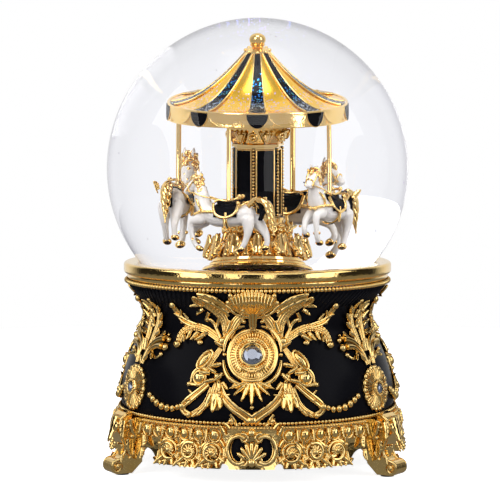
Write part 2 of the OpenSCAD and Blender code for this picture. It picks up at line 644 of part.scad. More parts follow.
key_z = 3; // lowest point of the key
module winding_key() color(gold) {
    difference() {
        union() {
            for (s = [-1, 1]) translate([s * (key_w / 2 - 4), 0, key_z + 4]) rotate([90, 0, 0])
                cylinder(r = 4, h = 1.6, center = true);
            translate([-key_w / 2 + 4, -0.8, key_z + 1.4]) cube([key_w - 8, 1.6, 5.2]);
            translate([0, 0, key_z + 2]) cylinder(r = arbor_r + 1.6, h = plate_z - key_z - 3);
        }
        for (s = [-1, 1]) translate([s * (key_w / 2 - 4), 0, key_z + 4]) rotate([90, 0, 0])
            cylinder(r = 1.8, h = 4, center = true);
    }
    translate([0, 0, plate_z - 2]) cylinder(r = arbor_r, h = crown_z - plate_z + 2 - 3);
}

// ---- turning with the carousel ----

barrel_wall = 1.2;
module spring_barrel() color(gold) {
    difference() {
        translate([0, 0, barrel_z]) cylinder(r = barrel_r, h = barrel_h);
        translate([0, 0, barrel_z + barrel_wall])
            cylinder(r = barrel_r - barrel_wall, h = barrel_h - 2 * barrel_wall);
        translate([0, 0, barrel_z - e]) cylinder(r = arbor_r + run_fit, h = barrel_h - 1);
    }
    // crown teeth, with a gap towards +x
    for (i = [0:crown_n - 1]) rotate([0, 0, (i + 0.5) * 360 / crown_n])
        translate([crown_r - crown_w / 2, 0, crown_z - e]) rotate([90, 0, 90]) linear_extrude(crown_w)
            polygon([[-crown_base, 0], [crown_base, 0], [crown_tip, tooth_h], [-crown_tip, tooth_h]]);
    translate([0, 0, crown_z - e]) cylinder(r = 3.4, h = coupling_z - crown_z - 0.4);
}

coils = 5;
coil_steps = 20;
module mainspring() color(steel) {
    r0 = arbor_r + 0.5;
    pitch = (barrel_r - barrel_wall - 0.3 - r0) / coils;
    spiral = [for (i = [0:coils * coil_steps]) let (a = i * 360 / coil_steps, r = r0 + pitch * i / coil_steps)
        r * [cos(a), sin(a)]];
    inner = [for (p = spiral) p * (1 - 0.28 / norm(p))];
    translate([0, 0, barrel_z + barrel_wall + 0.3])
        linear_extrude(barrel_h - 2 * barrel_wall - 0.6) polygon(concat(spiral, reversed(inner)));
}

module coupling() color(gold) translate([0, 0, coupling_z]) difference() {
    cylinder(r = 3.4, h = 8);
    translate([0, 0, 2]) cylinder(r = spindle_r + seat_gap, h = 9);
}

module spindle() color(steel)
    translate([0, 0, coupling_z + 2 + seat_gap]) cylinder(r = spindle_r, h = figure_z + 9 - coupling_z - 2);

// the pedestal's foot, a sleeve of upright leaves, and the scrolls under the column
leaves = 12;
pedestal_line = [[16.9, 0], [16.9, 0.7], [16.1, 1.4], [14.5, 1.6], [14.5, 2.6], [13.7, 2.8], [13.7, 3.8],
    [12.4, 4], [10.4, 9.6], [8, 10.8], [8.4, 11.4], [9.1, 12.4], [9.1, 13.8], [8, 15.2]];
sleeve_foot = 4.2;
sleeve_top = 9.6;
module pedestal() color(gold) difference() {
    translate([0, 0, figure_z]) {
        rotate_extrude($fn = 96)
            polygon(concat([[0, 0]], pedestal_line, [[8.2, pedestal_h], [0, pedestal_h]]));
        for (i = [0:leaves - 1]) rotate([0, 0, i * 360 / leaves]) {
            bar([12.2, 0, sleeve_foot + 0.4], [10.8, 0, sleeve_top], 1.5, 0.9);
            translate([11.3, 0, sleeve_top]) sphere(r = 1.2, $fn = 24);
        }
    }
    translate([0, 0, figure_z - e]) cylinder(r = spindle_r + seat_gap, h = 9.2);
}

mast_r = 4.6;
mast_z = roof_z - canopy_t - 3; // the mast carries the canopy by its collar
capital_flare = 3.4;
module column() color(enamel) rotate([0, 0, -99]) translate([0, 0, column_z + seat_gap])
    cylinder(r = column_r - 0.65, h = column_h - seat_gap, $fn = 6);

frame_t = 1.1;
module column_frame() color(gold) rotate([0, 0, -99]) difference() {
    translate([0, 0, column_z + seat_gap]) cylinder(r = column_r, h = column_h - 2 * seat_gap, $fn = 6);
    translate([0, 0, column_z - 1]) cylinder(r = column_r - 0.6, h = column_h + 2, $fn = 6);
    for (i = [0:5]) rotate([0, 0, 30 + i * 60])
        translate([0, -column_r / 2 + frame_t, column_z + frame_t]) cube([column_r, column_r - 2 * frame_t, column_h - 2 * frame_t]);
}

// a hexagonal block whose flat sides lean outwards, between two radii over its corners
module flared_hexagon(foot_r, top_r, h) {
    flat = cos(30); // a side's distance from the axis, over the corner's
    difference() {
        cylinder(r = top_r, h = h, $fn = 6);
        for (i = [0:5]) rotate([0, 0, 30 + i * 60]) translate([foot_r * flat, 0, 0])
            rotate([0, atan((top_r - foot_r) * flat / h), 0]) translate([0, -top_r, -h]) cube([top_r, 2 * top_r, 3 * h]);
    }
}

module capital() color(gold) rotate([0, 0, -99]) {
    translate([0, 0, capital_z + seat_gap]) {
        cylinder(r = column_r + 0.7, h = 0.8, $fn = 6);
        translate([0, 0, 0.8 - e]) flared_hexagon(column_r, column_r + capital_flare, capital_h - 0.8);
        cylinder(r = mast_r, h = mast_z - capital_z - 2 * seat_gap);
    }
    for (i = [0:5]) rotate([0, 0, i * 60]) translate([column_r + 1.3, 0, capital_z + 3.4])
        sphere(r = 1.1, $fn = 24);
}

valance_t = 0.9;
shelf_w = 1.7; // from the valance's face to the edge of the shelf under the roof
roof_r = canopy_r - valance_t - seat_gap; // the roof's rim lies inside the valance
function roof_h(r) = canopy_rise * ((roof_r - r) / (roof_r - collar_r)) ^ 1.87;
function roof_line(lift, n) = [for (i = [0:n]) let (r = roof_r + (collar_r - roof_r) * i / n)
    [r, rim_z + roof_h(r) + lift]];
roof_steps = 12;

// the roof's skin between two lifts above it
module roof_skin(low, high) rotate_extrude($fn = 96)
    polygon(concat(roof_line(high, roof_steps), reversed(roof_line(low, roof_steps))));

// a wedge that narrows towards the axis, seen from above
module wedge(rim_w, top_w) linear_extrude(roof_z + 9)
    polygon([[collar_r - 0.3, -top_w / 2], [canopy_r + 3, -rim_w / 2], [canopy_r + 3, rim_w / 2],
        [collar_r - 0.3, top_w / 2]]);

stripe_top_w = 1.9;
rib_w = 0.5;
module stripe_places() for (i = [0:stripes - 1]) rotate([0, 0, i * 360 / stripes]) children();

module canopy() color(gold) {
    roof_skin(-canopy_t, 0);
    translate([0, 0, mast_z]) cylinder(r = hub_r, h = roof_z - mast_z);
    // ribs along the stripes, which end under the finial's foot
    difference() {
        intersection() {
            roof_skin(-0.2, 0.45);
            stripe_places() difference() {
                wedge(stripe_w + 2 * rib_w, stripe_top_w + 2 * rib_w);
                translate([0, 0, -e]) wedge(stripe_w, stripe_top_w);
            }
        }
        translate([0, 0, roof_z]) cylinder(r = finial_r + seat_gap, h = 2);
    }
}

module canopy_stripes() color(enamel) {
    difference() {
        intersection() {
            roof_skin(seat_gap, 0.4);
            stripe_places() wedge(stripe_w - 2 * seat_gap, stripe_top_w - 2 * seat_gap);
        }
        translate([0, 0, mast_z]) cylinder(r = hub_r + seat_gap, h = canopy_rise);
    }
    // the half-oval tabs below the stripes
    intersection() {
        rotate_extrude($fn = 96) translate([canopy_r + seat_gap, rim_z - valance_h - 1]) square([0.4, valance_h + 0.8]);
        stripe_places() translate([0, 0, rim_z - valance_h * 0.36]) rotate([0, 90, 0])
            cylinder(r = stripe_w * 0.46, h = canopy_r + 9);
    }
}

module valance() color(gold) {
    shelf_z = rim_z - canopy_t - seat_gap;
    rotate_extrude($fn = 96) polygon([[canopy_r - valance_t, rim_z - valance_h], [canopy_r, rim_z - valance_h],
        [canopy_r, rim_z], [canopy_r - valance_t, rim_z], [canopy_r - valance_t, shelf_z],
        [canopy_r - shelf_w, shelf_z], [canopy_r - shelf_w, shelf_z - 1], [canopy_r - valance_t, shelf_z - 1]]);
    // raised scallops between the tabs
    intersection() {
        rotate_extrude($fn = 96) translate([canopy_r - e, rim_z - valance_h + 0.1]) square([0.25, valance_h - 0.4]);
        rotate([0, 0, 180 / stripes]) stripe_places() translate([0, 0, rim_z + valance_h * 0.35]) rotate([0, 90, 0])
            cylinder(r = 6.4, h = canopy_r + 9);
    }
}

module finial() color(gold) translate([0, 0, roof_z + seat_gap]) {
    cylinder(r = finial_r, h = 0.9);
    translate([0, 0, 0.9 - e]) cylinder(r1 = collar_r - 0.6, r2 = 1.5, h = 1.4);
    translate([0, 0, 1.6]) cylinder(r = 2.5, h = 0.6);
    translate([0, 0, 4.2]) sphere(r = 2.7);
}

// ---- poles and horses ----

pole_top = rim_z + roof_h(pole_circle_r) - canopy_t - 0.35;
leap = [-2, 0, 0, 2.5]; // the horses hang at different heights
function saddle_top(i) = figure_z + saddle_z + leap[i];
module pole_place(i) rotate([0, 0, pole_start + i * pole_step]) translate([0, -pole_circle_r, 0]) children();

module pole(i) color(gold) pole_place(i)
    translate([0, 0, saddle_top(i) - 2]) cylinder(r = pole_r, h = pole_top - saddle_top(i) + 2);

module pole_1() pole(0);
module pole_2() pole(1);
module pole_3() pole(2);
module pole_4() pole(3);

// a limb between two balls [x forward, y left, z up, radius]
module limb(a, b, fn = 8) hull() {
    translate([a[0], a[1], a[2]]) sphere(r = a[3], $fn = fn);
    translate([b[0], b[1], b[2]]) sphere(r = b[3], $fn = fn);
}

// one leg through its joints, ending in a hoof
module horse_leg(hip, knee, fetlock, toe) {
    limb(hip, knee, 6);
    limb(knee, fetlock, 6);
    limb(fetlock, toe, 6);
}

// a leaping horse in its own frame: saddle at the origin, nose towards +x
module horse_figure() {
    // barrel, neck and head
    limb([5.8, 0, -2.7, 3.2], [0.2, 0, -3.1, 2.9], 8);
    limb([0.2, 0, -3.1, 2.9], [-5.4, 0, -2.4, 3.2], 8);
    limb([6.2, 0, -1.4, 2.9], [8, 0, 4.6, 1.7], 8);
    limb([8.2, 0, 5.6, 1.75], [11.6, 0, 4, 1]);
    for (s = [-1, 1]) limb([8.2, 0.8 * s, 7, 0.5], [8.8, 0.9 * s, 9.2, 0.3], 6);
    // legs
    horse_leg([6.8, 1.5, -3.8, 1.7], [10.9, 1.6, -4.6, 1], [10, 1.6, -10.8, 0.7], [8.4, 1.6, -12.2, 0.85]);
    horse_leg([6.8, -1.5, -3.8, 1.7], [10.8, -1.6, -6, 1], [11.6, -1.6, -8.4, 0.7], [10.6, -1.6, -9.6, 0.85]);
    horse_leg([-5.8, 1.5, -3.4, 2.2], [-6.6, 1.7, -8, 1], [-5.2, 1.7, -11.4, 0.7], [-4.4, 1.7, -12.6, 0.85]);
    horse_leg([-6.6, -1.5, -3.4, 2.1], [-10.6, -1.7, -8.6, 0.95], [-10.9, -1.7, -10.6, 0.7],
        [-10.4, -1.7, -12, 0.85]);
    // mane, tail, saddle and blanket
    limb([7.2, 0, 8, 0.9], [3.6, 0, 2.4, 1.3]);
    limb([-7.2, 0, 1.6, 1.3], [-11, 0, -0.4, 1.5]);
    limb([-11, 0, -0.4, 1.5], [-14, 0, -7.6, 0.9]);
    limb([2.6, 0, -0.5, 1.2], [-2.8, 0, -0.4, 1.4]);
    hull() for (s = [-1, 1], x = [-2.6, 2.2]) translate([x, 2.5 * s, -2]) sphere(r = 0.9, $fn = 6);
}

module horse(i) color(ivory) pole_place(i) translate([0, 0, saddle_top(i)]) difference() {
    rotate([0, 0, 180]) scale(horse_size) horse_figure();
    translate([0, 0, -2.4]) cylinder(r = pole_r + 0.12, h = 9, $fn = 16);
}

module horse_1() horse(0);
module horse_2() horse(1);
module horse_3() horse(2);
module horse_4() horse(3);

// ---- drum and governor ----

module music_drum() color(gold) translate([0, 0, drum_z]) {
    rod_x(drum_x, drum_end, drum_r);
    // melody pins, in a spread that repeats no row
    for (i = [0:comb_teeth - 1], k = [0:2])
        rotate([i * 67 + k * 120 + 29, 0, 0]) translate([drum_x + (i + 0.5) * drum_len / comb_teeth, 0, drum_r - 0.2])
            cylinder(r = 0.22, h = pin_h + 0.2, $fn = 16);
    rotate([-90, 0, 0]) gear_x(crown_r - crown_w / 2, pinion_n, crown_m, crown_w);
    rod_x(crown_r - crown_w / 2, bearing_out_x + bearing_t + 0.2, pivot_r);
    gear_x(wheel_x, wheel_n, train_m, wheel_w);
}

module governor_wheel() color(gold) translate([0, gov_y, drum_z]) {
    rotate([180 / gov_pinion_n, 0, 0]) gear_x(wheel_x, gov_pinion_n, train_m, wheel_w);
    rod_x(wheel_x - 0.4, bracket_x + 1.2, pivot_r);
    gear_x(worm_wheel_x, worm_wheel_n, train_m, worm_wheel_w);
}

module governor_fan() color(gold) translate([worm_x, worm_y, 0]) {
    core = worm_r - 1.25 * train_m;
    tip = worm_r + train_m * 0.9;
    translate([0, 0, drum_z - 2.5 * worm_lead]) rotate([0, 0, 270])
        linear_extrude(5 * worm_lead, twist = -360 * 5, slices = 60, segments = 9)
            polygon([for (p = [[tip, -22], [tip, 22], [core, 55], [core, 90], [core, 135], [core, 180],
                [core, 225], [core, 270], [core, 305]]) p[0] * [cos(p[1]), sin(p[1])]]);
    translate([0, 0, drum_z - 2.5 * worm_lead - arm_t - 0.8])
        cylinder(r = pivot_r, h = fan_z + fan_h + arm_t + 0.9 - drum_z + 2.5 * worm_lead + arm_t);
    translate([-fan_w / 2, -0.15, fan_z]) cube([fan_w, 0.3, fan_h]);
    translate([0, 0, fan_z - 0.6]) cylinder(r = 1.2, h = fan_h + 0.8);
}

// ---- the part ----

// everything on the spindle stands at the carousel's resting turn
module turned() rotate([0, 0, figure_turn]) children();

base_body();
globe_ring();
upper_beads();
lower_beads();
plinth();
plinth_ornament_front();
plinth_ornament_right();
plinth_ornament_left();
leg_right();
leg_rear();
leg_left();
foot_pads();
medallion_front();
medallion_right();
medallion_left();
medallion_crystals();
rosette_right();
rosette_rear();
rosette_left();
rosette_crystals();
scrollwork_front();
scrollwork_right();
scrollwork_left();
glass_globe();
stopper();
gland_bush();
spindle_seal();
mound();
bottom_plate();
plate_screws();
movement_plate();
movement_screws();
comb();
comb_screws();
drum_bearings();
governor_bracket();
winding_key();
spring_barrel();
mainspring();
coupling();
spindle();
turned() pedestal();
turned() column();
turned() column_frame();
turned() capital();
turned() canopy();
turned() canopy_stripes();
turned() valance();
turned() finial();
turned() pole_1();
turned() pole_2();
turned() pole_3();
turned() pole_4();
turned() horse_1();
turned() horse_2();
turned() horse_3();
turned() horse_4();
music_drum();
governor_wheel();
governor_fan();
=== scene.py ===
import json
import math
import random
import bpy
from mathutils import Matrix, Vector


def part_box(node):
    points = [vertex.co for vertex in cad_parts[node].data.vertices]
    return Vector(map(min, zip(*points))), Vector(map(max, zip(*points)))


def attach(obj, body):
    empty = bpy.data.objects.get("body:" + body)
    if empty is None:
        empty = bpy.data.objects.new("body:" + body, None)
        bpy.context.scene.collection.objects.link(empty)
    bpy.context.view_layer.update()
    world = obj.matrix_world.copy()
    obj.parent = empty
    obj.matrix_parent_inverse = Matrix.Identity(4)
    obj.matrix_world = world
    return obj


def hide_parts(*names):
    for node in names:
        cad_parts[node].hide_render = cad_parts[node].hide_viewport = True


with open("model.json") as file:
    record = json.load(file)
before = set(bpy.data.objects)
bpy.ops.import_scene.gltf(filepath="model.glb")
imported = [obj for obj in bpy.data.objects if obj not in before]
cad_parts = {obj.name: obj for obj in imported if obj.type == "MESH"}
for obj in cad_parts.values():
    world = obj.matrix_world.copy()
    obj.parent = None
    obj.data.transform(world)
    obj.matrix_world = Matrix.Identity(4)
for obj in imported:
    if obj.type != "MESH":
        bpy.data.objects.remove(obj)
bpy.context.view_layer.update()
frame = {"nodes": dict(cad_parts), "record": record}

cadBox = {name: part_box(name) for name in frame["nodes"]}
slotOf = {entry["node"]: entry["material_slot"] for entry in frame["record"]["subparts"]}
dressed = set()  # CAD nodes that a finer piece stands for
print("frame loaded,", len(cadBox), "nodes")

# pieces are made in millimetres, and become metres when they are settled

def footOf(node):
    return cadBox[node][0].z * 1000

def topOf(node):
    return cadBox[node][1].z * 1000

# places

def turned(degrees):
    return Matrix.Rotation(math.radians(degrees), 4, "Z")

def tipped(degrees):
    return Matrix.Rotation(math.radians(degrees), 4, "X")

def leaned(degrees):
    return Matrix.Rotation(math.radians(degrees), 4, "Y")

def moved(x, y, z):
    return Matrix.Translation((x, y, z))

def sized(x, y=None, z=None):
    y = x if y is None else y
    return Matrix.Diagonal((x, y, x if z is None else z, 1))

def around(azimuth, reach, z):  # azimuths are counted from the front
    return turned(azimuth) @ moved(0, -reach, z)

def arc(begin, end, steps):
    return [math.radians(begin + (end - begin) * i / steps) for i in range(steps + 1)]

def carry(place, stroke, flip=1):  # takes a stroke of [x, y, z, thickness] to its place
    return [(*(place @ Vector((flip * x, y, z))), r) for x, y, z, r in stroke]

# tools of the bench

def deselect():
    if bpy.context.object and bpy.context.object.mode != "OBJECT":
        bpy.ops.object.mode_set(mode="OBJECT")
    bpy.ops.object.select_all(action="DESELECT")

def focus(piece):
    deselect()
    piece.select_set(True)
    bpy.context.view_layer.objects.active = piece

def start(name, shape, **options):
    deselect()
    getattr(bpy.ops.mesh, "primitive_" + shape + "_add")(**options)
    piece = bpy.context.object
    piece.name = name
    bpy.ops.object.transform_apply(location=True, rotation=True, scale=True)
    return piece

def smooth(piece):
    focus(piece)
    bpy.ops.object.shade_smooth()
    return piece

def editAll(piece):
    focus(piece)
    bpy.ops.object.mode_set(mode="EDIT")
    bpy.ops.mesh.select_all(action="SELECT")

def pushOut(x, y, z):
    bpy.ops.mesh.extrude_region_move(TRANSFORM_OT_translate={"value": (x, y, z)})

def cutAt(point, normal, **options):
    bpy.ops.mesh.select_all(action="SELECT")
    bpy.ops.mesh.bisect(plane_co=point, plane_no=normal, **options)

def done(piece, angle=40):
    bpy.ops.mesh.select_all(action="SELECT")
    bpy.ops.mesh.remove_doubles(threshold=0.0005)
    bpy.ops.mesh.normals_make_consistent(inside=False)
    bpy.ops.object.mode_set(mode="OBJECT")
    bpy.ops.object.shade_smooth_by_angle(angle=math.radians(angle))
    return piece

def modify(piece, kind, **settings):
    focus(piece)
    modifier = piece.modifiers.new(kind.title(), kind)
    for key, value in settings.items():
        setattr(modifier, key, value)
    bpy.ops.object.modifier_apply(modifier=modifier.name)
    return piece

def turnOnLathe(name, outline, sides=96, angle=40):
    startRadius, startHeight = outline[0]
    piece = start(name, "circle", vertices=sides, radius=startRadius, location=(0, 0, startHeight))
    editAll(piece)
    for (r0, z0), (r1, z1) in zip(outline, outline[1:]):
        pushOut(0, 0, z1 - z0)
        if abs(r1 - r0) > 1e-6:
            bpy.ops.transform.resize(value=(r1 / r0, r1 / r0, 1), center_override=(0, 0, z1))
    if outline[0] != outline[-1]:  # an open outline is closed by a cap at either end
        bpy.ops.mesh.edge_face_add()
        bpy.ops.object.mode_set(mode="OBJECT")
        onStart = [abs(vertex.co.z - startHeight) < 1e-5 and abs(vertex.co.xy.length - startRadius) < 1e-4
            for vertex in piece.data.vertices]
        for edge in piece.data.edges:
            edge.select = all(onStart[corner] for corner in edge.vertices)
        bpy.ops.object.mode_set(mode="EDIT")
        bpy.ops.mesh.edge_face_add()
    return done(piece, angle)

def joinPieces(pieces, name):
    deselect()
    for piece in pieces:
        piece.select_set(True)
    bpy.context.view_layer.objects.active = pieces[0]
    if len(pieces) > 1:
        bpy.ops.object.join()
    pieces[0].name = name
    return pieces[0]

def stampAll(pattern, places, name):
    copies = []
    for place in places:
        twin = pattern.copy()
        twin.data = pattern.data.copy()
        twin.data.transform(place)
        if place.determinant() < 0:
            twin.data.flip_normals()
        bpy.context.collection.objects.link(twin)
        copies.append(twin)
    return joinPieces(copies, name)

def discard(*pieces):
    for piece in pieces:
        bpy.data.objects.remove(piece)

def drawStrokes(name, strokes):
    deselect()
    bpy.ops.curve.primitive_nurbs_path_add()
    curve = bpy.context.object.data
    curve.splines.clear()
    curve.bevel_depth = 1
    curve.bevel_resolution = 2
    curve.resolution_u = 3
    curve.use_fill_caps = True
    for stroke in strokes:
        spline = curve.splines.new("NURBS")
        spline.points.add(len(stroke) - 1)
        for point, (x, y, z, thickness) in zip(spline.points, stroke):
            point.co = (x, y, z, 1)
            point.radius = thickness
        spline.use_endpoint_u = True
        spline.order_u = min(3, len(stroke))
    bpy.ops.object.convert(target="MESH")
    piece = bpy.context.object
    piece.name = name
    bpy.ops.object.shade_smooth()
    return piece

def settle(piece, body, slotName, *nodes, finish=None):
    piece.data.transform(Matrix.Scale(0.001, 4))
    piece.data.materials.clear()
    piece.data.materials.append(finishes[finish or slotName])
    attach(piece, body)
    if nodes:
        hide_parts(*nodes)
        dressed.update(nodes)
    return piece

# shader maths, written as expressions

class Value:
    def __init__(self, finish, socket):
        self.finish, self.socket = finish, socket

    def calculate(self, operation, other):
        return self.finish.node("Math", {"operation": operation}, {0: self, 1: other})[0]

    def __add__(self, other):
        return self.calculate("ADD", other)

    def __mul__(self, other):
        return self.calculate("MULTIPLY", other)

    __radd__, __rmul__ = __add__, __mul__

    def over(self, limit):
        return self.calculate("GREATER_THAN", limit)

    def under(self, limit):
        return self.calculate("LESS_THAN", limit)

    def between(self, low, high):
        return self.over(low) * self.under(high)

    def rise(self, low, high):  # from 0 to 1 between two limits, eased
        smooth = {"interpolation_type": "SMOOTHSTEP"}
        return self.finish.node("MapRange", smooth, {0: self, 1: low, 2: high})[0]

class Outputs:
    def __init__(self, finish, node):
        self.finish, self.node = finish, node

    def __getitem__(self, key):
        return Value(self.finish, self.node.outputs[key])

class Finish:
    def __init__(self, name, **sockets):
        self.material = bpy.data.materials.new(name)
        self.material.use_nodes = True
        self.nodes = self.material.node_tree.nodes
        self.shader = self.nodes["Principled BSDF"]
        self.paint(**sockets)
        self.place = self.node("TexCoord", {}, {})["Object"]

    def set(self, socket, value):
        if isinstance(value, Value):
            self.material.node_tree.links.new(value.socket, socket)
        else:
            socket.default_value = value

    def node(self, kind, settings, inputs):
        node = self.nodes.new("ShaderNode" + kind)
        for key, value in settings.items():
            if key == "stops":
                for stop, (position, colour) in zip(node.color_ramp.elements, value):
                    stop.position, stop.color = position, colour
            else:
                setattr(node, key, value)
        for key, value in inputs.items():
            self.set(node.inputs[key], value)
        return Outputs(self, node)

    def noise(self, scale, detail):
        return self.node("TexNoise", {}, {"Vector": self.place, "Scale": scale, "Detail": detail})["Fac"]

    def blend(self, mask, a, b):
        return self.node("Mix", {"data_type": "RGBA"}, {0: mask, 6: a, 7: b})[2]

    def choose(self, mask, a, b):  # between two shaders
        return self.node("MixShader", {}, {0: mask, 1: a, 2: b})["Shader"]

    def relief(self, height, strength, depth):
        bump = self.node("Bump", {}, {"Height": height, "Strength": strength, "Distance": depth})["Normal"]
        self.set(self.shader.inputs["Normal"], bump)

    def paint(self, **sockets):
        for key, value in sockets.items():
            self.set(self.shader.inputs[key.replace("_", " ")], value)

    def show(self, shader):
        self.set(self.nodes["Material Output"].inputs["Surface"], shader)

    def bare(self):  # the shader before anything is mixed with it
        return Value(self, self.shader.outputs[0])

# finishes

def metalFinish(name, light, dark, smoothness, grain):
    f = Finish(name, Metallic=1.0)
    tone = f.noise(180, 4)
    f.paint(Base_Color=f.blend(tone, light, dark), Roughness=f.noise(420, 3) * grain + smoothness)
    f.relief(f.noise(900, 2), 0.12, 0.0004)
    return f.material

def plainFinish(name, light, dark, roughness, scale):
    f = Finish(name)
    f.paint(Base_Color=f.blend(f.noise(scale, 4), light, dark),
        Roughness=f.noise(scale * 2, 2) * 0.2 + roughness)
    f.relief(f.noise(scale * 3, 3), 0.3, 0.0005)
    return f.material

def flakeFinish(name, ground, metallic, roughness, scale, share, colours, band=None, tint=None):
    # flakes of glitter strewn in a ground: each cell is one flake with its own hue and tilt
    f = Finish(name, Specular_IOR_Level=0.12)
    cells = f.node("TexVoronoi", {}, {"Vector": f.place, "Scale": scale})
    parts = f.node("SeparateColor", {}, {0: cells["Color"]})
    height = f.node("SeparateXYZ", {}, {0: f.place})["Z"]
    # band: the heights where the flakes start and where they are thickest
    spread = share * height.rise(*band) if band else share
    isFlake = (parts["Red"] + spread).over(1.0) * cells["Distance"].under(0.42)
    hue = f.node("ValToRGB", {"stops": colours}, {"Fac": parts["Green"]})["Color"]
    if tint:  # near the rim the flakes turn paler
        hue = f.blend(height.rise(*tint[0]), hue, tint[1])
    f.paint(Base_Color=f.blend(isFlake, ground, hue), Metallic=isFlake * (1 - metallic) + metallic,
        Roughness=isFlake * (0.25 - roughness) + roughness)
    f.relief(isFlake * parts["Blue"], 0.8, 0.0006)
    return f.material

def enamelFinish():
    f = Finish("blackEnamel", Base_Color=(0.003, 0.003, 0.004, 1), Specular_IOR_Level=0.025)
    f.paint(Roughness=f.noise(160, 3) * 0.1 + 0.18)
    f.relief(f.noise(260, 4), 0.08, 0.0004)
    return f.material

def porcelainFinish():
    f = Finish("glazedPorcelain", Coat_Weight=0.35, Coat_Roughness=0.12)
    f.paint(Base_Color=f.blend(f.noise(220, 4), (0.76, 0.73, 0.69, 1), (0.66, 0.62, 0.56, 1)),
        Roughness=f.noise(300, 2) * 0.15 + 0.24)
    f.relief(f.noise(700, 4), 0.15, 0.0004)
    return f.material

def gemFinish():
    f = Finish("cutCrystal", Base_Color=(0.24, 0.26, 0.31, 1), Roughness=0.02, IOR=1.6)
    f.paint(Metallic=f.noise(500, 1) * 0.2 + 0.75)
    return f.material

def liquidFinish():
    # glass and liquid as one clear ball, which light passes to reach the carousel
    f = Finish("filledGlass", Base_Color=(0.985, 0.99, 1.0, 1), Transmission_Weight=1.0, IOR=1.34)
    f.paint(Roughness=f.noise(30, 1) * 0.004)
    clear = f.node("BsdfTransparent", {}, {"Color": (0.96, 0.97, 0.98, 1)})["BSDF"]
    isShadow = f.node("LightPath", {}, {})["Is Shadow Ray"]
    f.show(f.choose(isShadow, f.bare(), clear))
    return f.material

finishes = {
    "gold_plate": metalFinish("polishedGold", (1.0, 0.76, 0.34, 1), (0.96, 0.6, 0.17, 1), 0.05, 0.12),
    "brass": metalFinish("turnedBrass", (0.86, 0.62, 0.28, 1), (0.74, 0.48, 0.18, 1), 0.2, 0.2),
    "steel": metalFinish("nickelledSteel", (0.68, 0.69, 0.71, 1), (0.56, 0.57, 0.6, 1), 0.22, 0.2),
    "glitter": metalFinish("looseGlitter", (0.35, 0.5, 1.0, 1), (0.75, 0.5, 0.95, 1), 0.08, 0.1),
    "mote": metalFinish("driftingGlitter", (0.75, 0.62, 1.0, 1), (0.95, 0.75, 0.9, 1), 0.15, 0.1),
    "felt": plainFinish("blackFelt", (0.03, 0.03, 0.032, 1), (0.01, 0.01, 0.012, 1), 0.8, 900),
    "rubber_black": plainFinish("blackRubber", (0.03, 0.03, 0.03, 1), (0.015, 0.015, 0.015, 1), 0.5, 200),
    "black_board": plainFinish("blackBoard", (0.03, 0.03, 0.03, 1), (0.016, 0.016, 0.016, 1), 0.45, 300),
    "glitter_resin": flakeFinish("glitteringBlack", (0.004, 0.004, 0.008, 1), 0.0, 0.12, 1300, 0.42,
        [(0.0, (0.05, 0.25, 0.9, 1)), (1.0, (0.5, 0.2, 0.9, 1))]),
    "stripe": flakeFinish("glitteringStripe", (0.003, 0.003, 0.005, 1), 0.0, 0.1, 1400, 0.62,
        [(0.0, (0.02, 0.16, 0.75, 1)), (1.0, (0.1, 0.5, 0.55, 1))], band=(0.1512, 0.1425),
        tint=((0.1418, 0.1385), (0.62, 0.66, 0.72, 1))),
    "panel": flakeFinish("flakedGold", (1.0, 0.6, 0.07, 1), 1.0, 0.2, 1300, 0.4,
        [(0.0, (1.0, 0.7, 0.62, 1)), (1.0, (0.8, 0.6, 0.9, 1))], band=(0.1465, 0.139)),
    "black_enamel": enamelFinish(),
    "porcelain": porcelainFinish(),
    "crystal": gemFinish(),
    "globe_glass": liquidFinish(),
}
print("finishes mixed")

# base: bowl, ring and beads
base = {"sides": {"front": 0, "right": 120, "left": 240}, "corners": {"right": 60, "rear": 180, "left": 300},
    "plinthTop": 23, "plinthRadius": 56, "plinthFlare": 2.6, "belly": 54.6, "waist": 44.5, "lip": 51.5,
    "waistHeight": 61, "lipHeight": 75, "wall": 3, "flutes": 132, "fluteHeight": 69.6, "fluteLean": -24}

def bezier(a, b, c, d, steps):
    points = []
    for i in range(steps + 1):
        t = i / steps
        shares = ((1 - t) ** 3, 3 * (1 - t) ** 2 * t, 3 * (1 - t) * t * t, t ** 3)
        points.append([sum(share * point[k] for share, point in zip(shares, (a, b, c, d))) for k in (0, 1)])
    return points

def drawBody():
    belly, waist, lip, narrow = base["belly"], base["waist"], base["lip"], base["waistHeight"]
    return [[belly - 0.6, base["plinthTop"]]] \
        + bezier((belly, 26), (belly, 46), (waist, narrow - 9), (waist, narrow), 18) \
        + bezier((waist, narrow + 1), (waist, 67), (lip - 1, 69), (lip, base["lipHeight"]), 12)

bodyLine = drawBody()

def bodyRadius(z):  # of the bowl, or of the flared plinth under it
    if z < base["plinthTop"]:
        return base["plinthRadius"] + base["plinthFlare"] * (1 - z / base["plinthTop"]) ** 2
    for (r0, z0), (r1, z1) in zip(bodyLine, bodyLine[1:]):
        if z <= z1:
            return r0 + (r1 - r0) * (z - z0) / (z1 - z0)
    return base["lip"]

def onSkin(azimuth, z, out=0.0, spin=0.0, size=1.0, flip=1):
    # a place on the base seen from outside, with x to the right, y up and z outwards
    lean = math.degrees(math.atan((bodyRadius(z + 0.6) - bodyRadius(z - 0.6)) / 1.2))
    return around(azimuth, bodyRadius(z) + out, z) @ tipped(90 + lean) @ turned(spin) \
        @ sized(size * flip, size, size)

def skinPoint(azimuth, z, out=0):
    return tuple(onSkin(azimuth, z, out).translation)

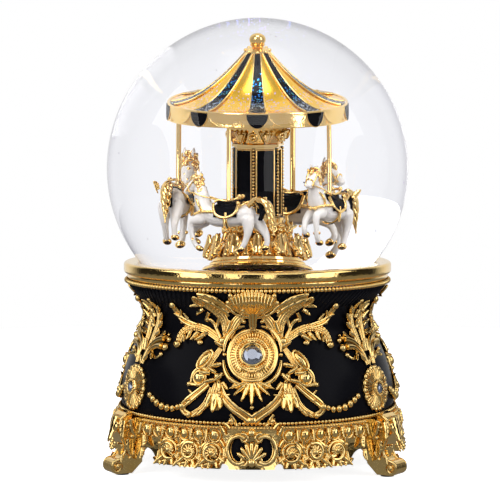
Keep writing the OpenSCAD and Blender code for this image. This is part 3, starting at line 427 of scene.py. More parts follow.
def makeBowl():
    inner = [[r - base["wall"], z] for r, z in reversed(bodyLine)]
    bowl = turnOnLathe("enamelBowl", bodyLine + inner + [bodyLine[0]], 128)
    flute = smooth(start("flute", "uv_sphere", segments=8, ring_count=6, radius=1))
    flute.data.transform(sized(0.72, 4.9, 0.3))
    pitch = 360 / base["flutes"]
    places = [onSkin(i * pitch, base["fluteHeight"], 0, base["fluteLean"]) for i in range(base["flutes"])]
    fluting = stampAll(flute, places, "bowlFluting")
    discard(flute)
    settle(joinPieces([bowl, fluting], "enamelBowl"), "base", "black_enamel", "base_body")

ring = {"top": 81.5, "foot": 75.2, "rim": 53.4, "seat": 46.6, "edge": 1.4}

def makeRing():
    top, foot, rim, seat, edge = (ring[key] for key in ("top", "foot", "rim", "seat", "edge"))
    outline = [[seat + 0.05, top - 1.15], [seat + 0.85, top - 0.3], [seat + 1.3, top - 0.06],
        [seat + 1.8, top]]
    outline += [[rim - edge + edge * math.sin(a), top - 1.2 + 1.2 * math.cos(a)] for a in arc(0, 90, 8)]
    outline += [[rim, top - 3.4], [rim - 0.1, top - 3.8], [rim - 0.4, top - 4.15], [rim - 1.05, top - 4.35],
        [rim - 1.3, top - 4.6], [rim - 1.3, foot + 0.5], [rim - 1.5, foot + 0.05], [seat + 1.2, foot],
        [seat + 0.1, top - 3.2], outline[0]]
    settle(turnOnLathe("globeRing", outline, 160), "base", "gold_plate", "globe_ring")

beadRows = {
    "upperBeads": {"node": "upper_beads", "reach": 52.42, "height": 74.15, "radius": 0.85, "pitch": 1.72},
    "lowerBeads": {"node": "lower_beads", "reach": 55.15, "height": 23.85, "radius": 0.76, "pitch": 1.55},
}

def makeBeadRow(name, row):
    bead = smooth(start("bead", "uv_sphere", segments=10, ring_count=7, radius=row["radius"]))
    count = round(2 * math.pi * row["reach"] / row["pitch"])
    beads = stampAll(bead, [around(i * 360 / count, row["reach"], row["height"]) for i in range(count)], name)
    discard(bead)
    settle(beads, "base", "gold_plate", row["node"])

makeBowl()
makeRing()
for name, row in beadRows.items():
    makeBeadRow(name, row)
print("bowl, ring and beads made")

# patterns for the gilt relief

def growLeaf(name, rows, thickness):
    # rows of [distance along, half width, height of the rib, height of the edge], from stem to tip
    piece = start(name, "grid", x_subdivisions=4, y_subdivisions=1, size=2)
    editAll(piece)
    bpy.ops.mesh.select_all(action="DESELECT")
    bpy.ops.object.mode_set(mode="OBJECT")
    for vertex in piece.data.vertices:
        along, half, rib, edge = rows[0 if vertex.co.y < 0 else 1]
        side = vertex.co.x
        vertex.co = (side * half, along, rib + (edge - rib) * side * side)
        vertex.select = along == rows[1][0]
    bpy.ops.object.mode_set(mode="EDIT")
    for before, row in zip(rows[1:], rows[2:]):
        pushOut(0, row[0] - before[0], row[2] - before[2])
        bpy.ops.transform.resize(value=(row[1] / before[1], 1, 1), center_override=(0, row[0], 0))
    bpy.ops.object.mode_set(mode="OBJECT")
    for vertex in piece.data.vertices:
        along, half, rib, edge = min(rows, key=lambda row: abs(row[0] - vertex.co.y))
        side = vertex.co.x / half
        vertex.co.z = rib + (edge - rib) * side * side
    modify(piece, "SOLIDIFY", thickness=thickness, offset=-1)
    modify(piece, "SUBSURF", levels=1, render_levels=1)
    editAll(piece)
    return done(piece, 60)

acanthus = growLeaf("acanthusLeaf", [[0, 0.28, 0.5, 0.1], [0.12, 0.34, 0.55, 0.1], [0.2, 0.2, 0.6, 0.2],
    [0.32, 0.42, 0.65, 0.15], [0.42, 0.24, 0.7, 0.25], [0.55, 0.38, 0.72, 0.2], [0.66, 0.2, 0.78, 0.35],
    [0.78, 0.28, 0.8, 0.4], [0.88, 0.13, 0.9, 0.6], [1, 0.04, 0.75, 0.6]], 0.12)
ball = smooth(start("ball", "uv_sphere", segments=16, ring_count=10, radius=1))

class Gilding:
    # the strokes, leaves and balls that make up one gilt casting
    def __init__(self):
        self.strokes, self.leaves, self.balls = [], [], []

    def cast(self):
        parts = [drawStrokes("scrolls", self.strokes)]
        if self.leaves:
            parts.append(stampAll(acanthus, self.leaves, "leaves"))
        parts.append(stampAll(ball, self.balls, "beads"))
        return parts

def spiral(x, y, radius, turns, begin, width, lift=0.0, hand=1, points=14):
    # a scroll in a flat place, from its outer end into its eye
    stroke = []
    for i in range(points):
        t = i / (points - 1)
        reach = radius * (1 - t) ** 0.9 + 0.16 * radius
        angle = math.radians(begin + hand * turns * 360 * t)
        stroke.append((x + reach * math.cos(angle), y + reach * math.sin(angle), lift + 0.25 * t * width,
            width * (1 - 0.45 * t)))
    return stroke

def oval(place, wide, high, thickness, lift=0.0, begin=0, end=360, steps=18):
    line = [(wide * math.cos(t), high * math.sin(t), lift, thickness) for t in arc(begin, end, steps)]
    return carry(place, line)

def skinStroke(points, azimuth=0, flip=1):
    # points are [azimuth, height, thickness] and, where it stands clear of the skin, its lift
    return [(*skinPoint(azimuth + flip * a, z, r * 0.55 + sum(lift)), r) for a, z, r, *lift in points]

def skinLeaves(leaves, azimuth, flip=1, out=0.5):
    # leaves are [azimuth, height, turn, length]
    return [onSkin(azimuth + flip * a, z, out, flip * spin, length, flip) @ sized(0.8, 1, 0.6)
        for a, z, spin, length in leaves]

def skinBalls(balls, azimuth, flip=1, out=None):
    # balls are [azimuth, height, radius]
    return [onSkin(azimuth + flip * a, z, r * 0.6 if out is None else out) @ sized(r) for a, z, r in balls]

def strap(points, azimuth, flip, ridges, lift=0.0):
    # a broad band over the skin made of parallel ridges; points are [azimuth, height, half width]
    strokes = []
    for k in range(ridges):
        share = 2 * k / (ridges - 1) - 1
        high = 0.35 * (1 if ridges == 2 or abs(share) < 0.9 else 0.4)
        line = []
        for i, (a, z, half) in enumerate(points):
            before, after = points[max(0, i - 1)], points[min(len(points) - 1, i + 1)]
            degree = math.radians(bodyRadius(z))
            across, up = (after[0] - before[0]) * degree, after[1] - before[1]
            reach = share * half * 0.8 / math.hypot(across, up)
            line.append([a - up * reach / degree, z + across * reach, max(0.28, 1.35 * half / ridges),
                lift + half * high])
        strokes.append(skinStroke(line, azimuth, flip))
    return strokes

def crossRibs(points, azimuth, flip):
    # short ribs laid across a band, one every pitch
    places = []
    for (a0, z0, h0), (a1, z1, h1) in zip(points, points[1:]):
        along = (a1 - a0) * math.radians(bodyRadius(z0))
        turn = math.degrees(math.atan2(-along, z1 - z0))
        count = max(1, round(math.hypot(along, z1 - z0) / relief["ribPitch"]))
        for k in range(count):
            t = (k + 0.5) / count
            half = h0 + (h1 - h0) * t
            places.append(onSkin(azimuth + flip * (a0 + (a1 - a0) * t), z0 + (z1 - z0) * t, 0.9, flip * turn)
                @ sized(half * 1.05, 0.34, 0.75))
    return places

def beadsAlong(points, azimuth, flip):
    # graded beads on a line over the skin, largest in its middle
    places = []
    small, large = relief["swagBeads"]
    spans = [math.dist(skinPoint(*a), skinPoint(*b)) for a, b in zip(points, points[1:])]
    walked = ahead = 0.0
    for (a0, z0), (a1, z1), span in zip(points, points[1:], spans):
        while ahead < span:
            t = ahead / span
            share = math.sin(math.pi * min(1, (walked + ahead) / sum(spans)))
            radius = small + (large - small) * share
            places.append(onSkin(azimuth + flip * (a0 + (a1 - a0) * t), z0 + (z1 - z0) * t, radius * 0.6)
                @ sized(radius * 0.82, radius, radius))
            ahead += relief["swagPitch"] * radius / large
        ahead -= span
        walked += span
    return places

# one half of the relief round a medallion
relief = {
    "strokes": [  # azimuth, height, thickness
        [[15, 54.6, .8], [17.6, 57.8, .75], [19.2, 60.8, .75], [21.8, 62.8, .9], [22.6, 61.6, .6]],
        [[18.2, 58.2, .6], [17.6, 60.8, .7], [16.6, 63, .9]],
        [[22, 57.2, .9], [25.2, 56.4, 1.1], [27, 54.4, .95], [25.8, 52.6, .8], [24.4, 53.6, .6]],
        [[18.4, 42.8, .7], [20.6, 44.4, .9], [24, 44, .9], [26.4, 41.4, .8], [26.2, 38.8, .6]],
        [[18, 39.8, .7], [20.8, 37.9, .9], [24.2, 37.9, .8], [26.6, 38.2, .9]],
        [[8.6, 27.4, .7], [7, 25.6, .8], [7.6, 23.8, .8], [9.4, 24.4, .7], [8.8, 25.8, .5]],
        [[54, 49, .7], [51.6, 46.6, .7], [48.4, 46, .6], [46.8, 47.6, .6]],
        [[58.4, 46, .6], [59.6, 44.4, .6], [60, 43.2, .5]],
        [[2.6, 65, .7], [4.8, 65.2, .9], [6.4, 63.4, .8], [5.4, 61.4, .7], [4, 62, .6]],
        [[12, 64, .7], [13.8, 66.2, .8], [13.2, 68.4, .7]],
    ],
    "grooved": [  # azimuth, height, half width
        [[11, 66, 1.3], [14.8, 69, 1.5], [19.4, 71, 1.6], [24.2, 71.7, 1.2]],
        [[13.4, 38.2, .9], [11.6, 34, 1.2], [7.6, 30.2, 1.3], [3.8, 27.8, 1.3], [.6, 25.6, 1.4]],
        [[18.2, 38.6, .8], [22.4, 35, 1], [26.8, 31.8, 1.1], [29.2, 29.6, 1], [28.8, 27.6, .9],
            [25.6, 26.4, .9]],
        [[28.6, 59.6, .8], [33.2, 60.4, 1], [37.4, 61.4, .9], [40, 63.6, .8], [40.8, 66.2, 1]],
        [[57.4, 43.4, .7], [56.6, 47.4, 1], [54.2, 50.4, 1.3], [50.4, 52.2, 1.6], [46.4, 52.4, 2]],
    ],
    "fluted": [
        [[12.6, 54.6, 1.2], [12.8, 59.4, 1.5], [15, 63.8, 1.7], [19.2, 67.2, 1.7], [23.6, 70, 1.8]],
        [[2.4, 64.4, .7], [4.8, 64.4, 1.3], [7.8, 62.4, 1.7], [10, 59.2, 1.6], [11.6, 55.6, 1.2]],
        [[14.2, 53.8, 1.1], [20.2, 57.2, 1.4], [25.8, 59, 1.5], [31, 59.2, 1.5], [35.8, 57.8, 1.5],
            [38.2, 55.2, 1.5], [37.7, 52.6, 1.4]],
        [[14.8, 51.6, .9], [17.2, 48.4, 1.3], [19.2, 44.8, 1.1]],
        [[14.8, 39, .9], [14.9, 35.6, 2], [14.8, 32, 2], [14.4, 28.8, .9]],
        [[16.6, 37.2, .9], [17.6, 33, 1.2], [19.8, 29.6, 1.2], [23.2, 27.2, 1.1], [26.2, 26.2, .8]],
        [[57.8, 49.6, 1], [57, 54.4, 1.7], [55.6, 59, 1.8], [55.8, 63.2, 1.3], [57.6, 66.8, .6]],
    ],
    "leaves": [  # azimuth, height, turn, length
        [23.2, 66.9, -120, 4.4], [21.2, 65.6, -150, 4], [25.6, 68, -80, 3.6], [12.6, 57.4, 20, 5],
        [23.6, 56.4, -130, 4.6], [27.4, 57.4, -150, 4.6], [31.6, 57.6, -170, 4.2], [35.2, 56.2, 160, 3.8],
        [33.6, 61.4, -30, 3.6], [37.6, 62.2, -60, 3.8], [39, 62.6, 30, 3.8], [12.8, 52.2, -70, 4.6],
        [13, 46, -110, 4.6], [12.2, 42.6, -140, 4.8], [15, 42.4, -60, 4.6], [15.6, 40.2, -110, 4.4],
        [13.8, 40, 170, 5], [12, 39.4, 140, 4.2], [17.6, 42.4, -90, 4.6], [20, 38.6, -110, 3.6],
        [14.8, 35.4, 180, 8], [13.6, 35.2, 164, 6.6], [16.2, 35.2, -164, 6.6], [11.4, 34.4, 80, 3],
        [17.4, 32, -150, 4.4], [19.4, 29.4, -140, 4], [21.8, 28, -130, 3.4], [27.4, 31, 60, 3],
        [24.4, 33.8, -40, 3], [55.2, 54.4, 74, 5], [54.4, 57.4, 62, 5], [54.2, 60.4, 50, 5],
        [55, 63.4, 36, 4.6], [56.6, 65.6, 10, 4], [58.6, 57, -40, 4.4], [58.8, 61, -30, 4.2],
        [50.4, 54, 60, 4.4], [47.6, 54, 88, 3.4], [52.4, 47.4, 130, 4], [56.4, 45, 60, 4.4], [59, 48, 0, 5],
        [10, 56.6, -70, 4], [9, 66, -60, 3.4],
    ],
    "balls": [  # azimuth, height, radius
        [22.8, 62.4, 1.15], [16.4, 63.6, 1], [37.6, 52.2, 1.6], [41, 67.2, 1.5], [38, 60.6, .9],
        [25, 53.4, .9], [26.8, 38.1, 1.1], [14.2, 54.4, 1.7], [14.4, 41.4, 1.5], [12.4, 38.6, 1],
        [8.4, 24.8, 1.1], [1.6, 24.7, 1.2], [3, 23.9, .9], [44.4, 50.6, 1.5], [44, 53.4, 1.1],
        [46, 47.8, 1], [29.2, 29.6, 1.5], [4.2, 61.8, .8], [13, 68.8, .9], [45.6, 55.2, .7],
        [11.4, 61.8, .8], [12.6, 49.4, .9], [26.2, 26.4, 1.2], [59.4, 68, .7],
    ],
    "swag": [[29.4, 29.8], [33.2, 28.4], [38, 28.4], [42.6, 30], [48.2, 33]],
    "swagBeads": (1.1, 1.6),  # radius of the smallest and of the largest
    "swagPitch": 2.8875,
    "ribPitch": 1.1,
}

def giltHalf(gilt, azimuth, flip):
    gilt.strokes += [skinStroke(points, azimuth, flip) for points in relief["strokes"]]
    for points in relief["grooved"]:
        gilt.strokes += strap(points, azimuth, flip, 2, 0.25)
        gilt.strokes.append(skinStroke([[a, z, half * 0.62] for a, z, half in points], azimuth, flip))
    for points in relief["fluted"]:
        gilt.strokes += strap(points, azimuth, flip, 4)
    for points in (relief["fluted"][0], relief["fluted"][2][2:]):
        gilt.balls += crossRibs(points, azimuth, flip)
    gilt.leaves += skinLeaves(relief["leaves"], azimuth, flip)
    gilt.balls += skinBalls(relief["balls"], azimuth, flip)
    gilt.balls += beadsAlong(relief["swag"], azimuth, flip)
    mouth = onSkin(azimuth + flip * 24.8, 69.7, 1.4, flip * -28)  # of the horn
    gilt.strokes += [oval(mouth, 1.3, 2.5, 0.5, 0.3), oval(mouth, 0.7, 1.7, 0.45, -0.3)]
    cabochon = onSkin(azimuth + flip * 21.2, 47.4, 1.0, flip * 32)  # beside the medallion
    gilt.strokes.append(oval(cabochon, 1.95, 4.4, 0.5, 0.1))
    globule = onSkin(azimuth + flip * 22.2, 40.9, 1.3)  # under it
    gilt.strokes.append(oval(globule, 2.6, 2.6, 0.42, -0.3))
    gilt.balls += [cabochon @ sized(1.35, 3.7, 1.2), globule @ sized(2.35, 2.35, 1.7)]

crown = {"height": 69.2, "wide": 9.6, "high": 4.5, "deep": 2.1, "ribs": 6, "ribPitch": 1.48,
    "rib": [[0.3, 65], [0.74, 66.8], [1, 69.2], [0.98, 71.4], [0.82, 73]],  # share of its pitch, height
    "band": [[-11.2, 68.4, .8], [-8.6, 65.6, .9], [-4, 64.4, .9], [0, 64, .9], [4, 64.4, .9], [8.6, 65.6, .9],
        [11.2, 68.4, .8]],
    "balls": [[10.4, 69.6, 1.2], [9.2, 72.4, 1], [4.2, 66.6, 1.1], [6, 67.2, .8], [2.6, 66.2, .8],
        [7.6, 69, .9], [3.4, 70, .8]]}

def crownLift(x, z):
    share = 1 - (x / crown["wide"]) ** 2 - ((z - crown["height"]) / crown["high"]) ** 2
    return crown["deep"] * math.sqrt(max(0.0, share))

def giltCrown(gilt, azimuth):
    # the ribbed dome under the bead row
    gilt.balls.append(onSkin(azimuth, crown["height"], 0.2)
        @ sized(crown["wide"] - 0.4, crown["high"] - 0.3, crown["deep"] - 0.2))
    for k in range(-crown["ribs"], crown["ribs"] + 1):
        line = []
        for share, z in crown["rib"]:
            x = k * crown["ribPitch"] * share
            line.append([x / math.radians(bodyRadius(z)), z, 0.5 if k % 2 else 0.66, crownLift(x, z) + 0.1])
        gilt.strokes.append(skinStroke(line, azimuth))
        bow = 0.05 * k * k
        gilt.leaves.append(onSkin(azimuth + k * 1.5, 73.9 - bow, 1.7, 180 - k * 4, 3.6) @ sized(0.85, 1, 0.7))
        gilt.balls.append(onSkin(azimuth + k * 1.42, 73.6 - bow, 1.9) @ sized(0.62))
    gilt.strokes += strap(crown["band"], azimuth, 1, 2, 0.7)
    for flip in (1, -1):
        gilt.balls += skinBalls(crown["balls"], azimuth, flip, 1.6)

def giltStem(gilt, azimuth):
    # a ribbed stem above the medallion and a palmette below it
    gilt.strokes += strap([[0, 58.4, 1], [0, 61.4, 1.2], [0, 65.4, 1.5]], azimuth, 1, 3, 0.7)
    for k in range(-3, 4):
        gilt.leaves.append(onSkin(azimuth + k * 0.9, 39.4, 0.8, 180 + k * 22, 9.4 - 0.9 * abs(k))
            @ sized(0.52, 1, 0.5))
        gilt.balls.append(onSkin(azimuth + k * 1.3, 38.6 + 0.2 * k * k, 1.2) @ sized(0.7))
    gilt.balls += [onSkin(azimuth, 30, 0.5) @ sized(0.9), onSkin(azimuth, 25.2, 0.9) @ sized(1.9, 1.6, 1.5)]

for side, azimuth in base["sides"].items():
    gilt = Gilding()
    for flip in (1, -1):
        giltHalf(gilt, azimuth, flip)
    giltCrown(gilt, azimuth)
    giltStem(gilt, azimuth)
    settle(joinPieces(gilt.cast(), side + "Scrollwork"), "base", "gold_plate", "scrollwork_" + side)
print("scrollwork made")

# medallions and rosettes
medallion = {"height": 49, "half": 9.9, "rise": 1.3, "collar": 4.6, "stone": 4,
    "curls": [  # strokes outside the rim: x, y, lift, thickness
        [(3, 12, .6, .5), (6.4, 11.4, .9, .8), (9.4, 8.2, .9, .9), (10.8, 4.4, .8, .7), (11, 1.6, .6, .4)],
        [(2.6, -12.2, .6, .5), (6, -11.6, .9, .8), (9.4, -8.6, .9, .9), (10.8, -4.8, .8, .7),
            (11, -2, .6, .4)]]}
rosette = {"height": 34, "rim": 8.3, "folds": 36, "stone": 1.9,
    "fold": [(3.2, 1.5, .36), (5, 0.95, .5), (7.2, 0.95, .62), (8.5, 0.4, .5)],  # reach, lift, thickness
    "hub": [[8.3, -0.6], [8.3, 0.2], [6, 0.75], [4.4, 0.8], [3.4, 1.7], [2.6, 2.4], [2.2, 2.5], [1.95, 2.3],
        [1.95, 1.5], [0.3, 1.5]]}

def stretchOval(piece):
    # leaves the collar round and draws the rim out into an upright oval
    still = medallion["collar"] + 0.4
    for vertex in piece.data.vertices:
        share = min(1, max(0, (vertex.co.xy.length - still) / (medallion["half"] - still)))
        vertex.co.y *= 1 + share * medallion["rise"] / medallion["half"]
    return piece

def makeMedallion(side, azimuth):
    h, c = medallion["half"], medallion["collar"]
    place = onSkin(azimuth, medallion["height"])
    dish = [[h - 0.3, -0.6], [h, 0.3], [h - 0.2, 0.9], [h - 0.7, 1.1], [h - 1.1, 0.75], [h - 1.3, 0.8],
        [h - 3, 1.35], [h - 3.3, 1.7], [h - 3.7, 1.75], [h - 4, 1.3], [c + 0.7, 1.5], [c + 0.5, 2.2],
        [c, 2.45], [c - 0.5, 2.2], [c - 0.55, 1.2], [0.4, 1.1]]
    parts = [turnOnLathe("dish", dish, 64)]
    hoops = ((h - 0.55, 0.55, 0.75), (h - 1.25, 0.3, 0.95), (h - 3.5, 0.34, 1.75), (c, 0.42, 2.25))
    for reach, thick, lift in hoops:
        hoop = start("hoop", "torus", major_radius=reach, minor_radius=thick, major_segments=64,
            minor_segments=8)
        smooth(hoop).data.transform(moved(0, 0, lift))
        parts.append(hoop)
    marks = [turned(i * 7.5) @ moved(h - 2.2, 0, 1.15) @ sized(0.95, 0.34, 0.55) for i in range(48)]
    marks += [turned(i * 10) @ moved(h - 4.15, 0, 1.7) @ sized(0.42) for i in range(36)]
    for y, fan in ((5.5, 6.2), (-5.6, -6.4)):  # a fan of five marks at the top and the foot
        marks.append(moved(0, y, 1.7) @ sized(2.1, 0.8, 0.6))
        marks += [moved(x, fan, 1.75) @ turned(x * -18) @ sized(0.34, 0.85, 0.6)
            for x in (-1.5, -0.75, 0, 0.75, 1.5)]
    parts.append(stampAll(ball, marks, "marks"))
    setting = stretchOval(joinPieces(parts, "setting"))
    setting.data.transform(place)
    curls = []
    for flip in (1, -1):
        curls += [carry(place, curl, flip) for curl in medallion["curls"]]
        curls.append(carry(place, spiral(6.4, -12, 1.5, 1.1, 60, 0.6, 0.6, 1, 10), flip))
    parts = [setting, drawStrokes("curls", curls)]
    settle(joinPieces(parts, side + "Medallion"), "base", "gold_plate", "medallion_" + side)

def makeRosette(side, azimuth):
    place = onSkin(azimuth, rosette["height"])
    hub = turnOnLathe("hub", rosette["hub"], 48)
    hub.data.transform(place)
    gilt = Gilding()
    for i in range(rosette["folds"]):
        thick = 0.7 if i % 3 else 1  # every third fold is a broad one
        gilt.strokes.append(carry(place @ turned(i * 360 / rosette["folds"]),
            [(0, y, lift, r * thick) for y, lift, r in rosette["fold"]]))
    gilt.balls += [place @ turned(i * 22.5) @ moved(2.75, 0, 2.2) @ sized(0.5) for i in range(16)]
    gilt.balls += [place @ turned(i * 20) @ moved(rosette["rim"] - 0.1, 0, 0.35) @ sized(0.95, 1.25, 0.8)
        for i in range(18)]
    settle(joinPieces([hub] + gilt.cast(), side + "Rosette"), "base", "gold_plate", "rosette_" + side)

def cutStone(radius, facets):
    piece = start("stone", "cylinder", vertices=facets * 2, radius=radius, depth=radius * 0.3,
        location=(0, 0, radius * 0.15))
    editAll(piece)
    bpy.ops.mesh.select_all(action="DESELECT")
    bpy.ops.object.mode_set(mode="OBJECT")
    for face in piece.data.polygons:
        face.select = face.normal.z > 0.9
    bpy.ops.object.mode_set(mode="EDIT")
    for rise, share in ((0.22, 0.78), (0.16, 0.66)):  # each tier of facets is turned by half a facet
        pushOut(0, 0, radius * rise)
        bpy.ops.transform.resize(value=(share, share, 1))
        bpy.ops.transform.rotate(value=math.pi / facets / 2, orient_axis="Z", center_override=(0, 0, 0))
    return done(piece, 5)

def setStones(name, node, azimuths, height, lift, radius, facets):
    stone = cutStone(radius, facets)
    stones = stampAll(stone, [onSkin(azimuth, height, lift) for azimuth in azimuths], name)
    discard(stone)
    settle(stones, "base", "crystal", node)

for side, azimuth in base["sides"].items():
    makeMedallion(side, azimuth)
setStones("medallionStones", "medallion_crystals", base["sides"].values(), medallion["height"], 1.2,
    medallion["stone"], 8)
setStones("rosetteStones", "rosette_crystals", base["corners"].values(), rosette["height"], 1.7,
    rosette["stone"], 6)
for side, azimuth in base["corners"].items():
    makeRosette(side, azimuth)
print("medallions and rosettes made")

# plinth and feet
plinth = {"voluteStart": 15.4, "voluteStep": 9.3, "volute": 3.9, "voluteRow": 12.7, "eggStart": 14.4,
    "eggStep": 6.4, "eggRow": 19.4, "cartouche": 14, "beadRow": 22.3, "beadPitch": 1.25,
    "leaves": [[10.4, 19.4, -20, 4.6], [10.6, 15, -30, 3.6], [10.2, 11.4, -150, 4], [8.4, 22, -40, 3.6],
        [5.4, 22.6, -20, 3.4], [47.6, 17, 160, 5], [48, 12, 170, 5]]}

def giltVolute(gilt, azimuth, flip, i):
    # a scroll with a shell in it, its tuft of leaves, and the tendrils up to the next one
    a = plinth["voluteStart"] + i * plinth["voluteStep"]
    r = plinth["volute"]
    place = onSkin(azimuth + flip * a, plinth["voluteRow"], 0.3)
    hand = -1 if i % 2 else 1
    gilt.strokes.append(carry(place, spiral(0, 0, r - 0.6, 1.25, 180 + 60 * hand, 0.95, 0.9, hand, 18), flip))
    gilt.strokes.append(oval(place, r - 0.35, r - 0.35, 0.62, 0.5))
    for t in arc(-40, 220, 8):
        gilt.strokes.append(carry(place, [(q * math.cos(t), q * math.sin(t), 0.9 + 0.25 * (3 - q), w)
            for q, w in ((0.7, .3), (1.5, .42), (2.5, .5))], flip))
    gilt.balls.append(place @ moved(0, 0, 1.5) @ sized(1.15, 1.15, 0.9))
    for t in arc(-150, -45, 3):
        gilt.leaves.append(place @ moved(flip * 3.1 * math.cos(t), 3.1 * math.sin(t), 0.3)
            @ turned(flip * (math.degrees(t) - 90)) @ sized(3.2, 3.4, 2.4))
    b = a + plinth["voluteStep"] / 2
    fall = [[b - 3.6, 17, .6], [b - 1.6, 16, .9], [b, 14, .9], [b + .2, 11.6, .8], [b - .8, 9.8, .6]]
    hem = [[b - 3, 8.4, .6], [b - .6, 7.6, .9], [b + 1.8, 7.8, .8], [b + 3.4, 8.8, .5]]
    gilt.strokes += [skinStroke(line, azimuth, flip) for line in (fall, hem)]
    gilt.leaves += skinLeaves([[b, 15.2, 0, 3.4], [b, 12, 180, 4.4], [b, 9.4, 150, 3.6], [b, 9.4, -150, 3.6]],
        azimuth, flip)
    gilt.balls += skinBalls([[b, 14.6, 0.95]], azimuth, flip, 0.9)

def giltEgg(gilt, azimuth, flip, i):
    # an egg's rim, and the dart and bead beside it; returns the egg's own place
    a, row = plinth["eggStart"] + i * plinth["eggStep"], plinth["eggRow"]
    place = onSkin(azimuth + flip * a, row, 0.25, flip * -12)
    gilt.strokes.append(oval(place, 2.35, 2.6, 0.42, 0.5, -210, 30, 12))
    between = azimuth + flip * (a + plinth["eggStep"] / 2)
    gilt.leaves.append(onSkin(between, row + 2.3, 0.7, 180) @ sized(2.2, 4.8, 2.4))
    gilt.balls.append(onSkin(between, row - 2.5, 0.5) @ sized(0.6))
    return onSkin(azimuth + flip * a, row, 0.1, flip * -12) @ sized(0.95, 1.12, 0.95)

def giltCartouche(gilt, azimuth):
    # two C-shaped scrolls round a palmette
    middle = plinth["cartouche"]
    for flip in (1, -1):
        gilt.strokes.append(carry(onSkin(azimuth + flip * 4.9, middle, 0.4),
            [(0.2 + 4.2 * math.cos(t), 5.4 * math.sin(t), 0.9, 0.85) for t in arc(-125, 125, 10)], flip))
        for height, hand in ((4.4, 1), (-4.2, -1)):
            curl = spiral(0, 0, 1.7, 1.2, 60 * hand, 0.75, 0.9, hand, 12)
            gilt.strokes.append(carry(onSkin(azimuth + flip * 3, middle + height, 0.3), curl, flip))
        gilt.leaves += skinLeaves(plinth["leaves"], azimuth, flip, 0.6)
    for t in arc(-63, 63, 6):
        x, y = math.sin(t) * 6, math.cos(t) * 7.2 - 4.4
        ray = [(0, -4.4, 1.2, 0.4), (x * 0.55, (y + 4.4) * 0.5 - 4.4, 1.9, 0.72), (x, y, 1.2, 0.86),
            (x * 1.05, y * 1.05, 1.26, 0.4)]
        gilt.strokes.append(carry(onSkin(azimuth, middle, 0.2), ray))
    gilt.balls += skinBalls([[0, 9.4, 1.6], [0, 20.6, 1.5]], azimuth, 1, 1.2)

egg = turnOnLathe("egg", [[1.5, 0], [1.9, 0.5], [1.8, 1.1], [1.3, 1.6], [0.5, 1.85]], 16)
for side, azimuth in base["sides"].items():
    gilt, eggPlaces = Gilding(), []
    for flip in (1, -1):
        for i in range(3):
            giltVolute(gilt, azimuth, flip, i)
        eggPlaces += [giltEgg(gilt, azimuth, flip, i) for i in range(6)]
    giltCartouche(gilt, azimuth)
    gilt.balls += [onSkin(azimuth + k * plinth["beadPitch"], plinth["beadRow"], 0.2) @ sized(0.5)
        for k in range(-40, 41)]
    parts = gilt.cast() + [stampAll(egg, eggPlaces, "eggs")]
    settle(joinPieces(parts, side + "PlinthOrnament"), "base", "gold_plate", "plinth_ornament_" + side)
discard(egg)

# each side of a leg is drawn in the flat: how far out, how high, how far it stands proud
leg = {"halfWidth": 4, "eye": (63.5, 3.7), "reach": 66.35, "foot": 0.85,
    "edge": [(57.6, 24.2, .5), (60.2, 24.2, 1), (62.4, 21.6, 1), (62.2, 17.6, 1), (60.6, 13.4, 1),
        (59.8, 10.4, .9), (60.6, 8, .9), (62.6, 6.5, .7)],  # how far out, how high, share of its thickness
    "inner": [(55, 22.4, .2, .4), (53.6, 18, .2, .7), (54.2, 13.6, .2, .8), (56, 9.6, .2, .7),
        (58.6, 6.6, .2, .6)],
    "leaves": [(57.6, 22.4, 165, 9), (60.6, 22, -170, 8), (58.6, 14.6, 178, 7.4), (55.6, 15.6, 150, 5.4),
        (57.4, 8.6, 130, 4.6), (61.4, 8.4, 200, 3.6), (55.6, 21.4, 120, 4.6)],
    "balls": [(59.6, 19.4, .8), (57.4, 15.2, .9), (58, 9.4, .8), (54.8, 12, .6)]}

def giltCheek(gilt, corner, flip):
    cheek = turned(corner) @ moved(flip * leg["halfWidth"], 0, 0) \
        @ Matrix(((0, 0, flip, 0), (-1, 0, 0, 0), (0, 1, 0, 0), (0, 0, 0, 1)))
    u, v = leg["eye"]
    coil = []
    for i in range(18):
        t = i / 17
        reach, angle = 2.35 * (1 - t) + 0.5, math.radians(100 - 430 * t)
        coil.append((u + reach * math.cos(angle), v + reach * math.sin(angle), -0.1, 0.62 * (1 - 0.4 * t)))
    curl = [(a, b, 0.3, r) for a, b, r, _ in spiral(59.6, 19.4, 2.3, 1.3, 90, 0.7, 0, -1, 14)]
    edge = [(a, b, -0.3, 0.72 * share) for a, b, share in leg["edge"]]
    gilt.strokes += [carry(cheek, stroke) for stroke in (coil, edge, curl, leg["inner"])]
    gilt.leaves += [cheek @ moved(a, b, 0.1) @ turned(turn) @ sized(size * 0.8, size, 1.2)
        for a, b, turn, size in leg["leaves"]]
    gilt.balls += [cheek @ moved(a, b, 0.2) @ sized(r) for a, b, r in leg["balls"]]
    gilt.balls.append(around(corner, u, v) @ moved(flip * (leg["halfWidth"] - 0.2), 0, 0) @ sized(0.8, 1, 1))

def legLeaf(corner, across, reach, z, tilt, spin, wide, long, deep):
    # hangs on the front of a leg, whose surface there leans back by its tilt
    return around(corner, reach, z) @ moved(across, 0, 0) @ tipped(90 - tilt) @ turned(180 + spin) \
        @ sized(wide, long, deep)

